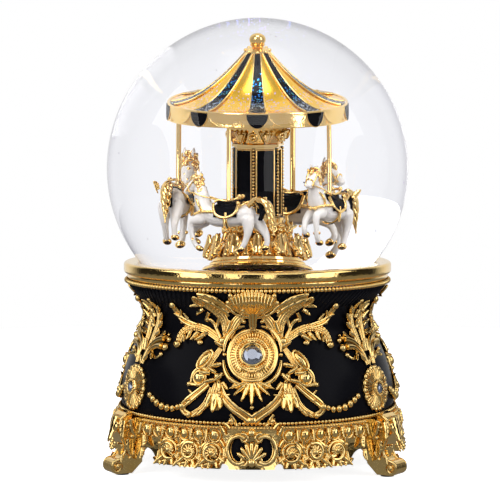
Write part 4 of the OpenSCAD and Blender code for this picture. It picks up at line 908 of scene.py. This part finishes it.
def giltKnee(gilt, corner):
    gilt.leaves += [legLeaf(corner, 0, 61.9, 23.6, 10, 0, 8.4, 11.4, 3),
        legLeaf(corner, 0, 60.6, 12.4, -14, 0, 6, 6, 2.4)]
    for flip in (1, -1):
        gilt.leaves += [legLeaf(corner, flip * 2.6, 62.2, 21.5, 8, flip * -24, 6.4, 6.4, 2.6),
            legLeaf(corner, flip * 2, 60.8, 12.6, -20, flip * -14, 5, 5, 2.2)]
    for a in arc(-60, 60, 4):
        gilt.strokes.append(carry(around(corner, 59.4, 22.6) @ tipped(35), [(0, -1, -3, 0.5),
            (2.4 * math.sin(a), -1.4, 0, 0.9), (4.6 * math.sin(a), -0.6, 4.4 * math.cos(a) - 2.4, 0.9)]))
    gilt.balls.append(around(corner, 61.2, 19.4) @ sized(1.5))

for side, corner in base["corners"].items():
    gilt = Gilding()
    for flip in (1, -1):
        giltCheek(gilt, corner, flip)
    giltKnee(gilt, corner)
    piece = joinPieces(gilt.cast(), side + "LegRelief")
    for vertex in piece.data.vertices:  # stays within the foot's own height and reach
        vertex.co.z = max(vertex.co.z, leg["foot"])
        vertex.co.xy *= min(1, leg["reach"] / vertex.co.xy.length)
    settle(piece, "base", "gold_plate")

# painted shade: black enamel ovals inside the cartouche's C-scrolls stand for the shadow in its openings
paintedShadeOvals = [onSkin(azimuth + flip * 5, plinth["cartouche"] + 0.2, 0.1) @ sized(3, 4.6, 0.45)
    for azimuth in base["sides"].values() for flip in (1, -1)]
settle(stampAll(ball, paintedShadeOvals, "cartoucheShadeOvals"), "base", "black_enamel")
print("plinth and feet made")

# mound in the globe
mound = {"foot": 74.05, "radius": 32, "height": 12.8, "bore": 3, "flakes": 420}
rng = random.Random(7)
flake = start("flake", "circle", vertices=6, radius=0.34, fill_type="NGON")

def makeMound():
    foot, top, bore = mound["foot"], mound["foot"] + mound["height"], mound["bore"]
    slope = bezier((mound["radius"], foot + 1.2), (25.6, foot + 3.6), (19, foot + 7.6), (12.4, top), 16)
    outline = [[bore, foot], [mound["radius"], foot]] + slope + [[bore, top], [bore, foot]]
    settle(turnOnLathe("glitterMound", outline), "base", "glitter_resin", "mound")
    places = []
    for i in range(mound["flakes"]):
        k, t = rng.randrange(len(slope) - 1), rng.random()
        r, z = (a + (b - a) * t for a, b in zip(slope[k], slope[k + 1]))
        tilt = tipped(math.degrees(rng.uniform(-0.7, 0.7))) @ leaned(math.degrees(rng.uniform(-0.2, 0.8)))
        places.append(turned(rng.uniform(0, 360)) @ moved(r - 0.1, 0, z + 0.12) @ tilt
            @ sized(rng.uniform(0.6, 1.2)))
    settle(stampAll(flake, places, "moundGlitter"), "base", "glitter_resin", finish="glitter")

makeMound()
print("mound made")

# carousel: what turns is drawn unturned, with a stripe to the right
figureTurn = 2

def onFigure(piece, slotName, *nodes, finish=None):
    piece.data.transform(turned(figureTurn))
    settle(piece, "carousel", slotName, *nodes, finish=finish)

def raised(outline, z, reach=0.0):
    return [[r + reach, h + z] for r, h in outline]

pedestal = {"foot": footOf("pedestal"), "leaves": 12,
    "outline": [[2.2, 0], [16.4, 0], [16.75, 0.2], [16.85, 0.6], [16.5, 1.1], [15.9, 1.4], [14.7, 1.55],
        [14.4, 1.8], [14.5, 2.4], [14.2, 2.75], [13.6, 2.9], [13.6, 3.7], [12.4, 4], [11.6, 6.4], [10.4, 9.4],
        [8.2, 10.8], [8.4, 11.4], [9, 12.2], [9.1, 13], [8.8, 13.9], [8, 14.8], [8, 15.3], [8.2, 15.9],
        [8.2, 16.35], [2.2, 16.35], [2.2, 0]]}

def makePedestal():
    f, gilt = pedestal["foot"], Gilding()
    for i in range(pedestal["leaves"]):
        here = i * 360 / pedestal["leaves"]
        between = here + 180 / pedestal["leaves"]
        upright = around(here, 14.7, f + 3.4) @ tipped(59)
        gilt.leaves += [upright @ sized(7.4, 7.4, 5),
            around(between, 14, f + 3.4) @ tipped(60) @ sized(5, 8.6, 3),
            around(between, 9.2, f + 12) @ tipped(104) @ turned(180) @ sized(3.2, 2.4, 3)]
        vein = [(0.5, 0.2, 1.7, .3), (1.6, 2, 2.1, .42), (2.2, 4.4, 2.2, .36)]
        gilt.strokes += [carry(upright, vein, flip) for flip in (-1, 1)]
        curl = spiral(0, 0, 1.6, 1.2, 90, 0.55, 0.4, 1, 9)
        gilt.strokes.append(carry(around(here, 9.7, f + 13) @ tipped(90), curl, 1 if i % 2 else -1))
        gilt.balls += [around(between, 9.8, f + 12.4 + k) @ sized(0.95 - 0.1 * k) for k in (0, 1.3)]
        gilt.balls.append(around(here, 8.6, f + 11) @ sized(0.7))
    body = turnOnLathe("pedestalBody", raised(pedestal["outline"], f), 72)
    onFigure(joinPieces([body] + gilt.cast(), "pedestalGilt"), "gold_plate", "pedestal")

column = {"foot": footOf("column"), "top": footOf("capital"), "radius": 7.6, "faces": 6, "firstFace": 21,
    "panelHalf": 2.9, "beads": 20, "beadReach": 7.95, "grooveReach": 7.42}

def giltColumn():
    # framed panels between beaded corners, with badges and bosses on the capital above
    foot, top, half = column["foot"], column["top"], column["panelHalf"]
    flat = -column["radius"] * math.cos(math.pi / column["faces"]) - 0.02
    gilt, grooves = Gilding(), []
    for i in range(column["faces"]):
        face = turned(column["firstFace"] + i * 60)
        corner = turned(column["firstFace"] + i * 60 - 30)
        pitch = (top - foot - 1.6) / column["beads"]
        gilt.balls += [corner @ moved(0, -column["beadReach"], foot + 0.8 + k * pitch)
            @ sized(0.36, 0.36, 0.42) for k in range(column["beads"] + 1)]
        grooves.append(carry(corner, [(0, -column["grooveReach"], z, 0.52)
            for z in (foot + 0.3, foot + 8, foot + 14, top - 0.3)]))
        rises = (foot + 0.9, foot + 8, foot + 14, top - 0.9)
        gilt.strokes += [carry(face, [(x, flat, z, 0.27) for z in rises]) for x in (-half, half)]
        gilt.strokes += [carry(face, [(x, flat, z, 0.27) for x in (-half, -1, 1, half)])
            for z in (foot + 0.9, top - 0.9)]
        badge = face @ moved(0, -8.3, top + 4.4) @ tipped(108)
        gilt.leaves += [badge @ moved(x, -0.2, 0) @ turned(turn) @ sized(1.6, size, 1.2)
            for x, turn, size in ((0, 180, 2.8), (-0.9, 200, 2), (0.9, 160, 2))]
        gilt.balls += [badge @ moved(x, 0.2, 0.3) @ sized(0.5) for x in (-1.7, 0, 1.7)]
        gilt.strokes += [carry(badge, [(2.4, .3, .2, .3), (1.2, -1.8, .2, .3), (0, -3.6, .2, .3)], flip)
            for flip in (-1, 1)]
        boss = corner @ moved(0, -8.9, top + 3.4) @ tipped(108)
        gilt.strokes.append(oval(boss, 1.3, 1.3, 0.4, 0.5, 0, 360, 12))
        gilt.balls.append(boss @ moved(0, 0, 0.5) @ sized(0.75))
    onFigure(joinPieces(gilt.cast(), "columnGilt"), "gold_plate")
    onFigure(drawStrokes("columnGrooves", grooves), "black_enamel")

roof = {"rim": footOf("canopy") + 1.4, "thick": 1.4, "radius": 26.25, "collar": 3.3, "rise": 16.4,
    "bend": 1.87}
stripe = {"count": 8, "rimHalf": 3.6, "topHalf": 0.95, "rimReach": 31, "topReach": 3, "thick": 0.3}
radii = [roof["radius"] + (roof["collar"] - roof["radius"]) * i / 24 for i in range(25)]

def roofHeight(r, lift=0.0):
    share = max(0.0, (roof["radius"] - r) / (roof["radius"] - roof["collar"]))
    return roof["rim"] + roof["rise"] * share ** roof["bend"] + lift

def makeRoof():
    upper = [[r, roofHeight(r)] for r in radii]
    lower = [[r, roofHeight(r, -roof["thick"])] for r in reversed(radii)]
    panels = turnOnLathe("roofPanels", upper + lower + [upper[0]], 128, 60)
    onFigure(panels, "gold_plate", "canopy", finish="panel")

def makeStripes():
    # one sector cut out of a skin over the roof, and a rib along either side of it
    half, near = stripe["topHalf"], stripe["topReach"]
    slope = (stripe["rimHalf"] - half) / (stripe["rimReach"] - near)
    side = math.atan(slope)
    skin = [[r, roofHeight(r, 0.28)] for r in radii] + [[3.2, roofHeight(roof["collar"], 0.1)]]
    sector = turnOnLathe("stripe", skin, 256, 60)
    editAll(sector)
    for flip in (1, -1):
        cutAt((near, flip * half, 0), (-math.sin(side), flip * math.cos(side), 0), clear_outer=True)
    cutAt((1, 0, 0), (-1, 0, 0), clear_outer=True)
    done(sector, 60)
    modify(sector, "SOLIDIFY", thickness=stripe["thick"], offset=0)
    places = [turned(i * 360 / stripe["count"]) for i in range(stripe["count"])]
    onFigure(stampAll(sector, places, "roofStripes"), "black_enamel", "canopy_stripes", finish="stripe")
    discard(sector)
    ribs = []
    for place in places:
        for flip in (1, -1):
            rib = []
            for k in range(15):
                x = roof["radius"] - 0.4 - k * 23.2 / 14
                y = half + (x - near) * slope
                rib.append((x, flip * y, roofHeight(math.hypot(x, y), 0.3), 0.33))
            ribs.append(carry(place, rib))
    onFigure(drawStrokes("roofRibs", ribs), "gold_plate")

valance = {"radius": 27.2,
    "outline": [[-0.8, -5], [-0.1, -5], [0, -4.85], [0.02, -4.5], [-0.1, -4.3], [-0.1, -0.7], [0, -0.45],
        [0.06, -0.1], [-0.1, 0.2], [-0.5, 0.3], [-0.9, 0.1], [-0.9, -1.5], [-2.4, -1.5], [-2.4, -2.4],
        [-0.9, -2.4], [-0.8, -5]],  # from the band's radius and the roof's rim
    "tab": {"radius": 3.6, "squash": 1.28, "thick": 0.26, "drop": 0.3, "sunk": 0.04, "start": 90,
        "rim": (3.75, 4.75, 0.2)},  # half width, height and thickness of its gilt edge
    "scallop": {"radius": 6.7, "squash": 0.66, "thick": 0.22, "drop": 0.35, "sunk": 0.1, "start": 112.5,
        "rim": (6.75, 4.45, 0.17)}}

def makeTab(name, shape):
    # half a squashed disc, rimmed, and sliced upright so that it can be bent round the band
    piece = start(name, "circle", vertices=40, radius=shape["radius"], fill_type="NGON")
    piece.data.transform(tipped(90) @ sized(1, shape["squash"], 1))
    editAll(piece)
    pushOut(0, -shape["thick"], 0)
    bpy.ops.mesh.inset(thickness=0.35, depth=0)
    bpy.ops.mesh.inset(thickness=0.3, depth=-shape["thick"] * 0.5)
    cutAt((0, 0, 0), (0, 0, 1), clear_outer=True, use_fill=True)
    for k in range(17):
        cutAt((k * 0.7 - 5.6, 0, 0), (1, 0, 0))
    done(piece, 30)
    radius, top = valance["radius"] - shape["sunk"], roof["rim"] - shape["drop"]
    for vertex in piece.data.vertices:
        angle, reach = vertex.co.x / radius, radius - vertex.co.y
        vertex.co = (reach * math.sin(angle), -reach * math.cos(angle), top + vertex.co.z)
    return piece

def bandStroke(place, points, thickness, reach):
    angles = [x / valance["radius"] for x, z in points]
    return carry(place, [(reach * math.sin(a), -reach * math.cos(a), z, thickness)
        for a, (x, z) in zip(angles, points)])

def makeValance():
    rim, band = roof["rim"], valance["radius"]
    parts, edges, places = [turnOnLathe("band", raised(valance["outline"], rim, band), 128)], [], {}
    for kind in ("tab", "scallop"):
        shape = valance[kind]
        wide, high, thick = shape["rim"]
        places[kind] = [turned(shape["start"] + i * 45) for i in range(8)]
        edge = [(wide * math.cos(t), rim - 0.3 + high * math.sin(t)) for t in arc(180, 360, 15)]
        edges += [bandStroke(place, edge, thick, band) for place in places[kind]]
    for place in places["tab"]:  # short bars in the corners between tabs and scallops
        for x in (4.6, 5.4, 6.2, -4.6, -5.4, -6.2):
            low, rise = rim - 4.6, 0.4 + 1.6 * (abs(x) - 4.6) * (6.6 - abs(x))
            bar = [(x, low), (x, low + rise / 2), (x, low + rise)]
            edges.append(bandStroke(place, bar, 0.16, band - 0.05))
    tab, scallop = (makeTab(kind, valance[kind]) for kind in ("tab", "scallop"))
    parts += [stampAll(scallop, places["scallop"], "scallops"), drawStrokes("tabRims", edges)]
    onFigure(joinPieces(parts, "valanceGilt"), "gold_plate", "valance")
    onFigure(stampAll(tab, places["tab"], "valanceTabs"), "black_enamel")
    discard(tab, scallop)

def makeFinial():
    z = footOf("finial")
    outline = [[3.4, 0], [3.7, 0.2], [3.7, 0.7], [3, 0.95], [2.2, 1.3], [1.5, 1.9], [2.2, 2.1], [2.4, 2.5],
        [1.7, 2.75]]
    outline += [[2.6 * math.cos(a), 4.35 + 2.55 * math.sin(a)] for a in arc(-36, 81, 13)] + [[0.05, 6.88]]
    places = [turned(i * 45) @ moved(0, -3.7, z + 0.5) @ sized(0.62) for i in range(8)]
    knobs = stampAll(ball, places, "knobs")
    knot = turnOnLathe("finialBall", raised(outline, z), 48)
    onFigure(joinPieces([knot, knobs], "finialGilt"), "gold_plate", "finial")

makePedestal()
giltColumn()
makeRoof()
makeStripes()
makeValance()
makeFinial()
print("carousel structure made")

# horses and poles
# a horse is drawn at its own size with the saddle at the origin and the head towards +x; points are
# x, y, z, thickness
horse = {"saddle": pedestal["foot"] + 22, "circle": 24.4, "start": 337.5, "size": 1.19,
    "leap": [-2, 0, 0, 2.5],
    "body": [
        [(0, 0, -3.2, 3.2), (3.4, 0, -3.1, 3.2), (6.4, 0, -2.2, 3.2), (7.7, 0, 0.8, 2.6), (8.1, 0, 3.6, 2.1),
            (8.6, 0, 6, 1.6)],
        [(0, 0, -3.2, 3.2), (-3.4, 0, -2.9, 3.1), (-6, 0, -2.1, 3.3), (-7.6, 0, -1.4, 2.4)]],
    "head": [(8.1, 0, 5.4, 1.6), (9.1, 0, 6.3, 1.9), (10.3, 0, 5.5, 1.6), (11.4, 0, 4.4, 1.2),
        (12.3, 0, 3.5, 1.1), (12.5, 0, 3, 0.9)],
    "ear": [(8.4, 0.85, 7.3, 0.62), (8.5, 1.05, 8.5, 0.58), (8.8, 1.1, 9.7, 0.2)],
    "legs": [
        [(6.2, 1.5, -3.2, 2.1), (8.6, 1.7, -4.2, 1.7), (10.8, 1.7, -4.6, 1.2), (10.6, 1.7, -7.4, .88),
            (10, 1.7, -10.6, .8), (9.2, 1.7, -11.6, .78), (8.6, 1.7, -12.1, .95)],
        [(6.2, -1.5, -3.4, 2.1), (8.6, -1.7, -5, 1.6), (10.6, -1.7, -5.9, 1.15), (11.2, -1.7, -7.4, .86),
            (11.5, -1.7, -8.6, .78), (10.9, -1.7, -9.3, .78), (10.5, -1.7, -9.7, .92)],
        [(-5.8, 1.4, -2.6, 2.6), (-6.6, 1.7, -5, 2), (-6.5, 1.8, -7.6, 1.2), (-5.9, 1.8, -9.4, .9),
            (-5.2, 1.8, -11.2, .82), (-4.7, 1.8, -12, .8), (-4.4, 1.8, -12.4, .95)],
        [(-6.2, -1.4, -2.8, 2.5), (-8.4, -1.7, -5.2, 1.9), (-10.4, -1.8, -8, 1.15), (-10.8, -1.8, -9.6, .88),
            (-10.8, -1.8, -10.7, .8), (-10.6, -1.8, -11.4, .78), (-10.4, -1.8, -11.9, .92)]],
    "hooves": [  # x, y, z, lean
        (8.3, 1.7, -12.3, -18), (10.2, -1.7, -9.9, -28), (-4.1, 1.8, -12.6, 16), (-10.2, -1.8, -12.1, 8)],
    "tail": [  # x and z
        (-8.2, 1), (-9.8, 1.5), (-11.6, 0.4), (-12.4, -1.8), (-12.8, -4.2), (-13.2, -6.6), (-13.8, -8.6)],
    "straps": [  # on one side: rein, breast strap, saddle flap, rump strap, saddle edge, stirrup
        [(11.8, 1.2, 3.9, .2), (9.4, 2.1, 3.2, .2), (5.6, 2.2, 2.2, .2), (3, 1.6, 1.5, .2)],
        [(3, 2.9, -1.8, .4), (6, 3.25, -1.7, .42), (8.2, 2.6, -1.9, .42), (9.5, 0.8, -2.4, .42),
            (9.6, 0, -2.5, .42)],
        [(-3.6, 1.9, .9, .42), (-3.7, 3.1, -1.4, .46), (-2.2, 3.45, -3, .46), (0.2, 3.55, -3.6, .46),
            (2.2, 3.5, -3.1, .46), (3.6, 3.2, -1.8, .46), (3.8, 2, .6, .42)],
        [(-3.6, 2.6, -.6, .34), (-5.2, 2.9, .2, .36), (-6.8, 1.9, 1.2, .34), (-7.8, 0, 1.4, .34)],
        [(3.4, 2.2, .9, .34), (2.6, 1.6, 1.7, .34), (0, 1.6, 1.1, .3), (-2.6, 1.7, 1.7, .34),
            (-3.6, 1.4, 2.4, .36), (-3.9, 0, 2.6, .36)],
        [(0.2, 3.6, -3.9, .34), (0.2, 3.5, -5.2, .42), (0.2, 3.1, -6.2, .3)]],
    "crupper": [(-7.7, .5, 1.7, .45), (-9.3, .7, 0.7, .5), (-10.1, .7, -1.2, .5), (-10, .7, -3, .5),
        (-9.3, .6, -4.2, .4)],
    "blanket": [[3.4, -3.5], [3.5, -1.7], [3.42, 0], [3.4, 3.5], [3.2, 3.5], [3.2, -3.5], [3.4, -3.5]]}

def sideways(stroke, flip):
    return [(x, flip * y, z, r) for x, y, z, r in stroke]

def growBody(name, chains, levels=2):
    # a body grown by the skin modifier round chains of points, each starting at a point already laid
    piece = start(name, "plane", size=0.01)
    editAll(piece)
    bpy.ops.mesh.merge(type="CENTER")
    laid = [chains[0][0]]
    bpy.ops.transform.translate(value=laid[0][:3])
    for chain in chains:
        begin = min(range(len(laid)), key=lambda i: math.dist(laid[i][:3], chain[0][:3]))
        bpy.ops.object.mode_set(mode="OBJECT")
        for i, vertex in enumerate(piece.data.vertices):
            vertex.select = i == begin
        bpy.ops.object.mode_set(mode="EDIT")
        bpy.ops.mesh.select_mode(type="VERT")
        here = laid[begin]
        for point in chain[1:]:
            pushOut(*(b - a for a, b in zip(here[:3], point[:3])))
            laid.append(point)
            here = point
    bpy.ops.object.mode_set(mode="OBJECT")
    piece.modifiers.new("Skin", "SKIN")
    skin = piece.data.skin_vertices[0].data
    for entry, point in zip(skin, laid):
        entry.radius = (point[3], point[3])
    skin[0].use_root = True
    bpy.ops.object.modifier_apply(modifier="Skin")
    modify(piece, "SUBSURF", levels=levels, render_levels=levels)
    editAll(piece)
    return done(piece, 80)

def makeHorseBody():
    parts = [growBody("trunk", horse["body"]), growBody("head", [horse["head"]])]
    parts += [growBody("ear", [sideways(horse["ear"], flip)], 1) for flip in (1, -1)]
    parts += [growBody("leg", [chain]) for chain in horse["legs"]]
    body = joinPieces(parts, "horseBody")
    modify(body, "REMESH", mode="VOXEL", voxel_size=0.17)
    modify(body, "SMOOTH", factor=0.5, iterations=4)
    return smooth(body)

def giltMane(gilt):
    for k in range(7):  # short curls down the crest
        t = k / 6
        x, z = 8.7 - 1.1 * t - 1.1 * t * t, 8 - 7.2 * t
        curl = [(x + 1, 0.3, z + 0.6, .3), (x + 0.1, 0.9, z + 0.6, .44), (x - 0.4, 1.3, z - 0.1, .46),
            (x + 0.2, 1.6, z - 0.7, .42), (x + 0.8, 1.6, z - 0.2, .36), (x + 0.4, 1.7, z + 0.1, .28)]
        gilt.strokes += [sideways(curl, flip) for flip in (1, -1)]
        y = 0.35 * (-1) ** k
        gilt.balls += [moved(x - 0.7, y, z + 0.2) @ sized(.66), moved(x - 0.6, -y, z - 0.4) @ sized(.5)]
    forelock = [(9, 0, 8.2, .45), (10.2, 0, 8, .62), (11, 0, 7, .55), (10.7, 0, 6.4, .3)]
    gilt.strokes.append(forelock)

def giltTail(gilt):
    # plaited of three strands
    line = horse["tail"]
    for strand in range(3):
        stroke = []
        for k in range(25):
            u = k / 24 * (len(line) - 1)
            i = min(int(u), len(line) - 2)
            x, z = (a + (b - a) * (u - i) for a, b in zip(line[i], line[i + 1]))
            swell = 0.75 * math.sin(math.pi * min(1, 0.16 + k / 27))
            turn = strand * 2.09 + k * 0.62
            out, aside = swell * math.cos(turn), swell * math.sin(turn)
            thickness = 0.82 * math.sin(math.pi * min(0.97, 0.2 + k / 28)) + 0.12
            stroke.append((x + out * 0.8, aside, z + out * 0.5, thickness))
        gilt.strokes.append(stroke)

def giltHarness(gilt):
    # noseband, throat lash, collar, girth and an anklet
    ring, hoop = arc(0, 360, 8), arc(0, 360, 12)
    gilt.strokes += [
        [(11.5 + .5 * math.sin(a), 1.28 * math.cos(a), 4.4 + 1.28 * math.sin(a), .26) for a in ring],
        [(8.9 - .8 * math.cos(a), 1.85 * math.sin(a), 5.6 - 1.7 * math.cos(a), .3) for a in hoop],
        [(7.8 - 1.4 * math.cos(a), 2.85 * math.sin(a), -.2 - 2.4 * math.cos(a), .42) for a in hoop],
        [(-.2, 3.35 * math.sin(a), -3.2 - 3.35 * math.cos(a), .36) for a in arc(-110, 110, 10)],
        [(10.1, 1.7 + math.cos(a), -9.6 + .3 * math.sin(a), .3) for a in ring],
    ]
    cheek = [(x, 1.62 - (x - 9.2) * .16, 7.5 - (x - 9.2) * 1.25, .26) for x in (9.2, 10, 10.8, 11.6, 12.2)]
    for flip in (1, -1):
        gilt.strokes += [sideways(line, flip) for line in [cheek] + horse["straps"]]
        gilt.balls += [moved(x, flip * y, -1.8) @ sized(.5)
            for x, y in ((4.4, 3.25), (5.5, 3.25), (6.6, 3.25), (7.7, 2.9))]
        gilt.balls += [moved(9, flip * 1.95, 6) @ sized(.62, .4, .62),
            moved(9.6, flip * 0.7, -2.5) @ sized(.6),
            moved(-3.7, flip * 2.4, .6) @ sized(.62), moved(-3.7, flip * 1.2, 2.6) @ sized(.62)]
        gilt.leaves.append(moved(-6.8, flip * 2.9, -0.4) @ tipped(-flip * 80) @ turned(flip * 40 + 90)
            @ sized(3.4, 4, 2))
    gilt.balls += [moved(x, y, z) @ leaned(lean) @ sized(1.28, 1.18, 0.85)
        for x, y, z, lean in horse["hooves"]]

def makeHorseGilt():
    gilt = Gilding()
    giltMane(gilt)
    giltTail(gilt)
    giltHarness(gilt)
    return joinPieces(gilt.cast(), "horseGilt")

def makeHorseTack():
    # saddle, blanket, crupper and eyes
    saddle = smooth(start("saddle", "uv_sphere", segments=24, ring_count=14, radius=1))
    saddle.data.transform(moved(0, 0, -0.3) @ sized(3.6, 2.3, 1.2))
    for vertex in saddle.data.vertices:
        vertex.co.z += 0.13 * vertex.co.x ** 2
    blanket = turnOnLathe("blanket", horse["blanket"], 48)
    blanket.data.transform(moved(0, 0, -3) @ leaned(90))
    editAll(blanket)
    cutAt((0, 0, -3.4), (0, 0, -1), clear_outer=True, use_fill=True)
    done(blanket)
    crupper = drawStrokes("crupper", [sideways(horse["crupper"], flip) for flip in (1, -1)])
    eyes = stampAll(ball, [moved(10, flip * 1.42, 6.2) @ sized(0.3) for flip in (1, -1)], "eyes")
    return joinPieces([saddle, blanket, crupper, eyes], "horseTack")

def makePole(number, bearing):
    low, high = footOf(f"pole_{number}"), topOf(f"pole_{number}")
    outline = raised([[0.55, 0], [0.7, 0.1], [0.7, 2.6], [1.15, 2.9], [1.3, 3.4], [1.15, 3.9], [0.85, 4.2],
        [0.75, 4.4]], low) + raised([[0.75, -3.4], [0.95, -3.2], [1.15, -2.8], [0.95, -2.4], [0.75, -2.2],
        [0.75, -0.1], [0.5, 0]], high)
    pole = turnOnLathe(f"pole{number}", outline, 24)
    pole.data.transform(around(bearing, horse["circle"], 0))
    onFigure(pole, "gold_plate", f"pole_{number}")

horseParts = [(makeHorseBody(), "porcelain"), (makeHorseGilt(), "gold_plate"),
    (makeHorseTack(), "black_enamel")]
for number, leap in enumerate(horse["leap"], 1):
    bearing = horse["start"] + number * 90 - 90
    place = around(bearing, horse["circle"], horse["saddle"] + leap) @ turned(180) @ sized(horse["size"])
    for part, slotName in horseParts:
        nodes = [f"horse_{number}"] if slotName == "porcelain" else []
        onFigure(stampAll(part, [place], part.name + str(number)), slotName, *nodes)
    makePole(number, bearing)
discard(acanthus, ball, *(part for part, slotName in horseParts))
print("horses made")

# globe, filled to the top
globe = {"centre": 118.22, "radius": 60, "neckTop": 71, "neckFoot": 61.1, "motes": 46}

def makeGlobe():
    vessel = start("filledGlobe", "uv_sphere", segments=128, ring_count=96, radius=globe["radius"],
        location=(0, 0, globe["centre"]))
    editAll(vessel)
    cutAt((0, 0, globe["neckTop"]), (0, 0, -1), clear_outer=True, use_fill=True)
    pushOut(0, 0, globe["neckFoot"] - globe["neckTop"])
    settle(done(vessel), "base", "globe_glass", "glass_globe")

def strewMotes():
    places = []
    for i in range(globe["motes"]):
        spot = Vector([rng.gauss(0, 1) for axis in range(3)]).normalized() * rng.uniform(43, 56)
        if spot.z > -34:
            tilt = tipped(math.degrees(rng.uniform(0, 6))) @ leaned(math.degrees(rng.uniform(0, 6)))
            places.append(moved(*spot) @ moved(0, 0, globe["centre"]) @ tilt @ sized(rng.uniform(0.5, 0.9)))
    settle(stampAll(flake, places, "driftingMotes"), "base", "glitter_resin", finish="mote")
    discard(flake)

makeGlobe()
strewMotes()
for name, node in frame["nodes"].items():  # pieces that are finished as they stand
    if name not in dressed:
        node.data.materials.clear()
        node.data.materials.append(finishes[slotOf[name]])
print("globe made,", len(dressed), "nodes dressed")

# floor, light and camera, in metres
studio = {"distance": 1.0, "height": 0.166, "bearing": 2.2, "lens": 180.7, "pitch": 4.59, "yaw": 0.171,
    "boxes": {  # where each softbox stands, the height it looks at, its width and height, its power
        "keyBox": ((-0.55, -0.75, 0.6), 0.08, 0.45, 0.6, 5.0),
        "sideBox": ((0.75, -0.4, 0.3), 0.08, 0.25, 0.7, 3.0),
        "topBox": ((0, -0.1, 0.95), 0.1, 0.6, 0.5, 4.0)},
    "panels": [  # seen in the gilding alone: from and to across, from and to up, brightness
        (-0.92, -0.64, -0.3, 0.75, 2.5), (0.7, 0.95, -0.35, 0.7, 2.2), (-0.42, -0.22, -0.2, 0.5, 1.7),
        (0.12, 0.28, -0.25, 0.45, 1.6), (-0.55, 0.55, 0.58, 0.8, 1.9)]}

def layFloor():
    floor = start("floor", "circle", vertices=96, radius=0.5, fill_type="NGON", location=(0, 0, -0.00002))
    f = Finish("paleFloor", Emission_Strength=0.85)
    f.paint(Base_Color=f.blend(f.noise(3, 2), (0.9, 0.9, 0.9, 1), (0.88, 0.88, 0.88, 1)), Roughness=0.7,
        Emission_Color=(1, 1, 1, 1))
    path = f.node("LightPath", {}, {})
    dim = f.node("Emission", {}, {"Color": (0.2, 0.2, 0.2, 1)})["Emission"]
    clear = f.node("BsdfTransparent", {}, {})["BSDF"]
    seen = f.choose(path["Is Glossy Ray"], f.bare(), dim)
    f.show(f.choose(path["Is Transmission Ray"], seen, clear))
    floor.data.materials.append(f.material)

class Surroundings(Finish):
    def __init__(self, world):
        self.material = world
        world.use_nodes = True
        self.nodes = world.node_tree.nodes
        self.place = self.node("TexCoord", {}, {})["Generated"]

def lightRoom():
    # a white backdrop; what shines sees a dark room with bright panels in it
    bpy.context.scene.world = bpy.data.worlds.new("studio")
    room = Surroundings(bpy.context.scene.world)
    axes = room.node("SeparateXYZ", {}, {0: room.place})
    x, y, z = axes["X"], axes["Y"], axes["Z"]
    path = room.node("LightPath", {}, {})
    panels = sum(x.between(left, right) * z.between(low, high) * power
        for left, right, low, high, power in studio["panels"])
    bright = 0.02 + y.under(0.1) * panels + y.rise(0.45, 0.85) * 0.8 + z.rise(0.9, 0.97) * 1.2
    through = room.blend(y.rise(0.2, 0.7), (0.5, 0.49, 0.56, 1), (0.96, 0.96, 0.985, 1))
    seen = room.blend(path["Is Glossy Ray"], (0.62, 0.62, 0.63, 1), bright)
    seen = room.blend(path["Is Transmission Ray"], seen, through)
    room.set(room.nodes["Background"].inputs["Color"], room.blend(path["Is Camera Ray"], seen, (1, 1, 1, 1)))

def hangSoftbox(name, spot, aim, wide, high, power):
    deselect()
    bpy.ops.object.light_add(type="AREA", location=spot)
    light = bpy.context.object
    light.name = name
    light.data.shape = "RECTANGLE"
    light.data.size, light.data.size_y, light.data.energy = wide, high, power
    light.visible_glossy = False
    light.rotation_euler = (Vector((0, 0, aim)) - Vector(spot)).to_track_quat("-Z", "Y").to_euler()

def setCamera():
    deselect()
    bearing, distance = math.radians(studio["bearing"]), studio["distance"]
    bpy.ops.object.camera_add(
        location=(distance * math.sin(bearing), -distance * math.cos(bearing), studio["height"]),
        rotation=(math.radians(90 - studio["pitch"]), 0, bearing + math.radians(studio["yaw"])))
    camera = bpy.context.object
    camera.data.sensor_width = 36
    camera.data.lens = studio["lens"]
    camera.data.clip_start, camera.data.clip_end = 0.05, 20
    bpy.context.scene.camera = camera

layFloor()
lightRoom()
for name, box in studio["boxes"].items():
    hangSoftbox(name, *box)
setCamera()
bpy.context.scene.view_settings.view_transform = "Standard"

bpy.context.view_layer.update()
print("scene ready")
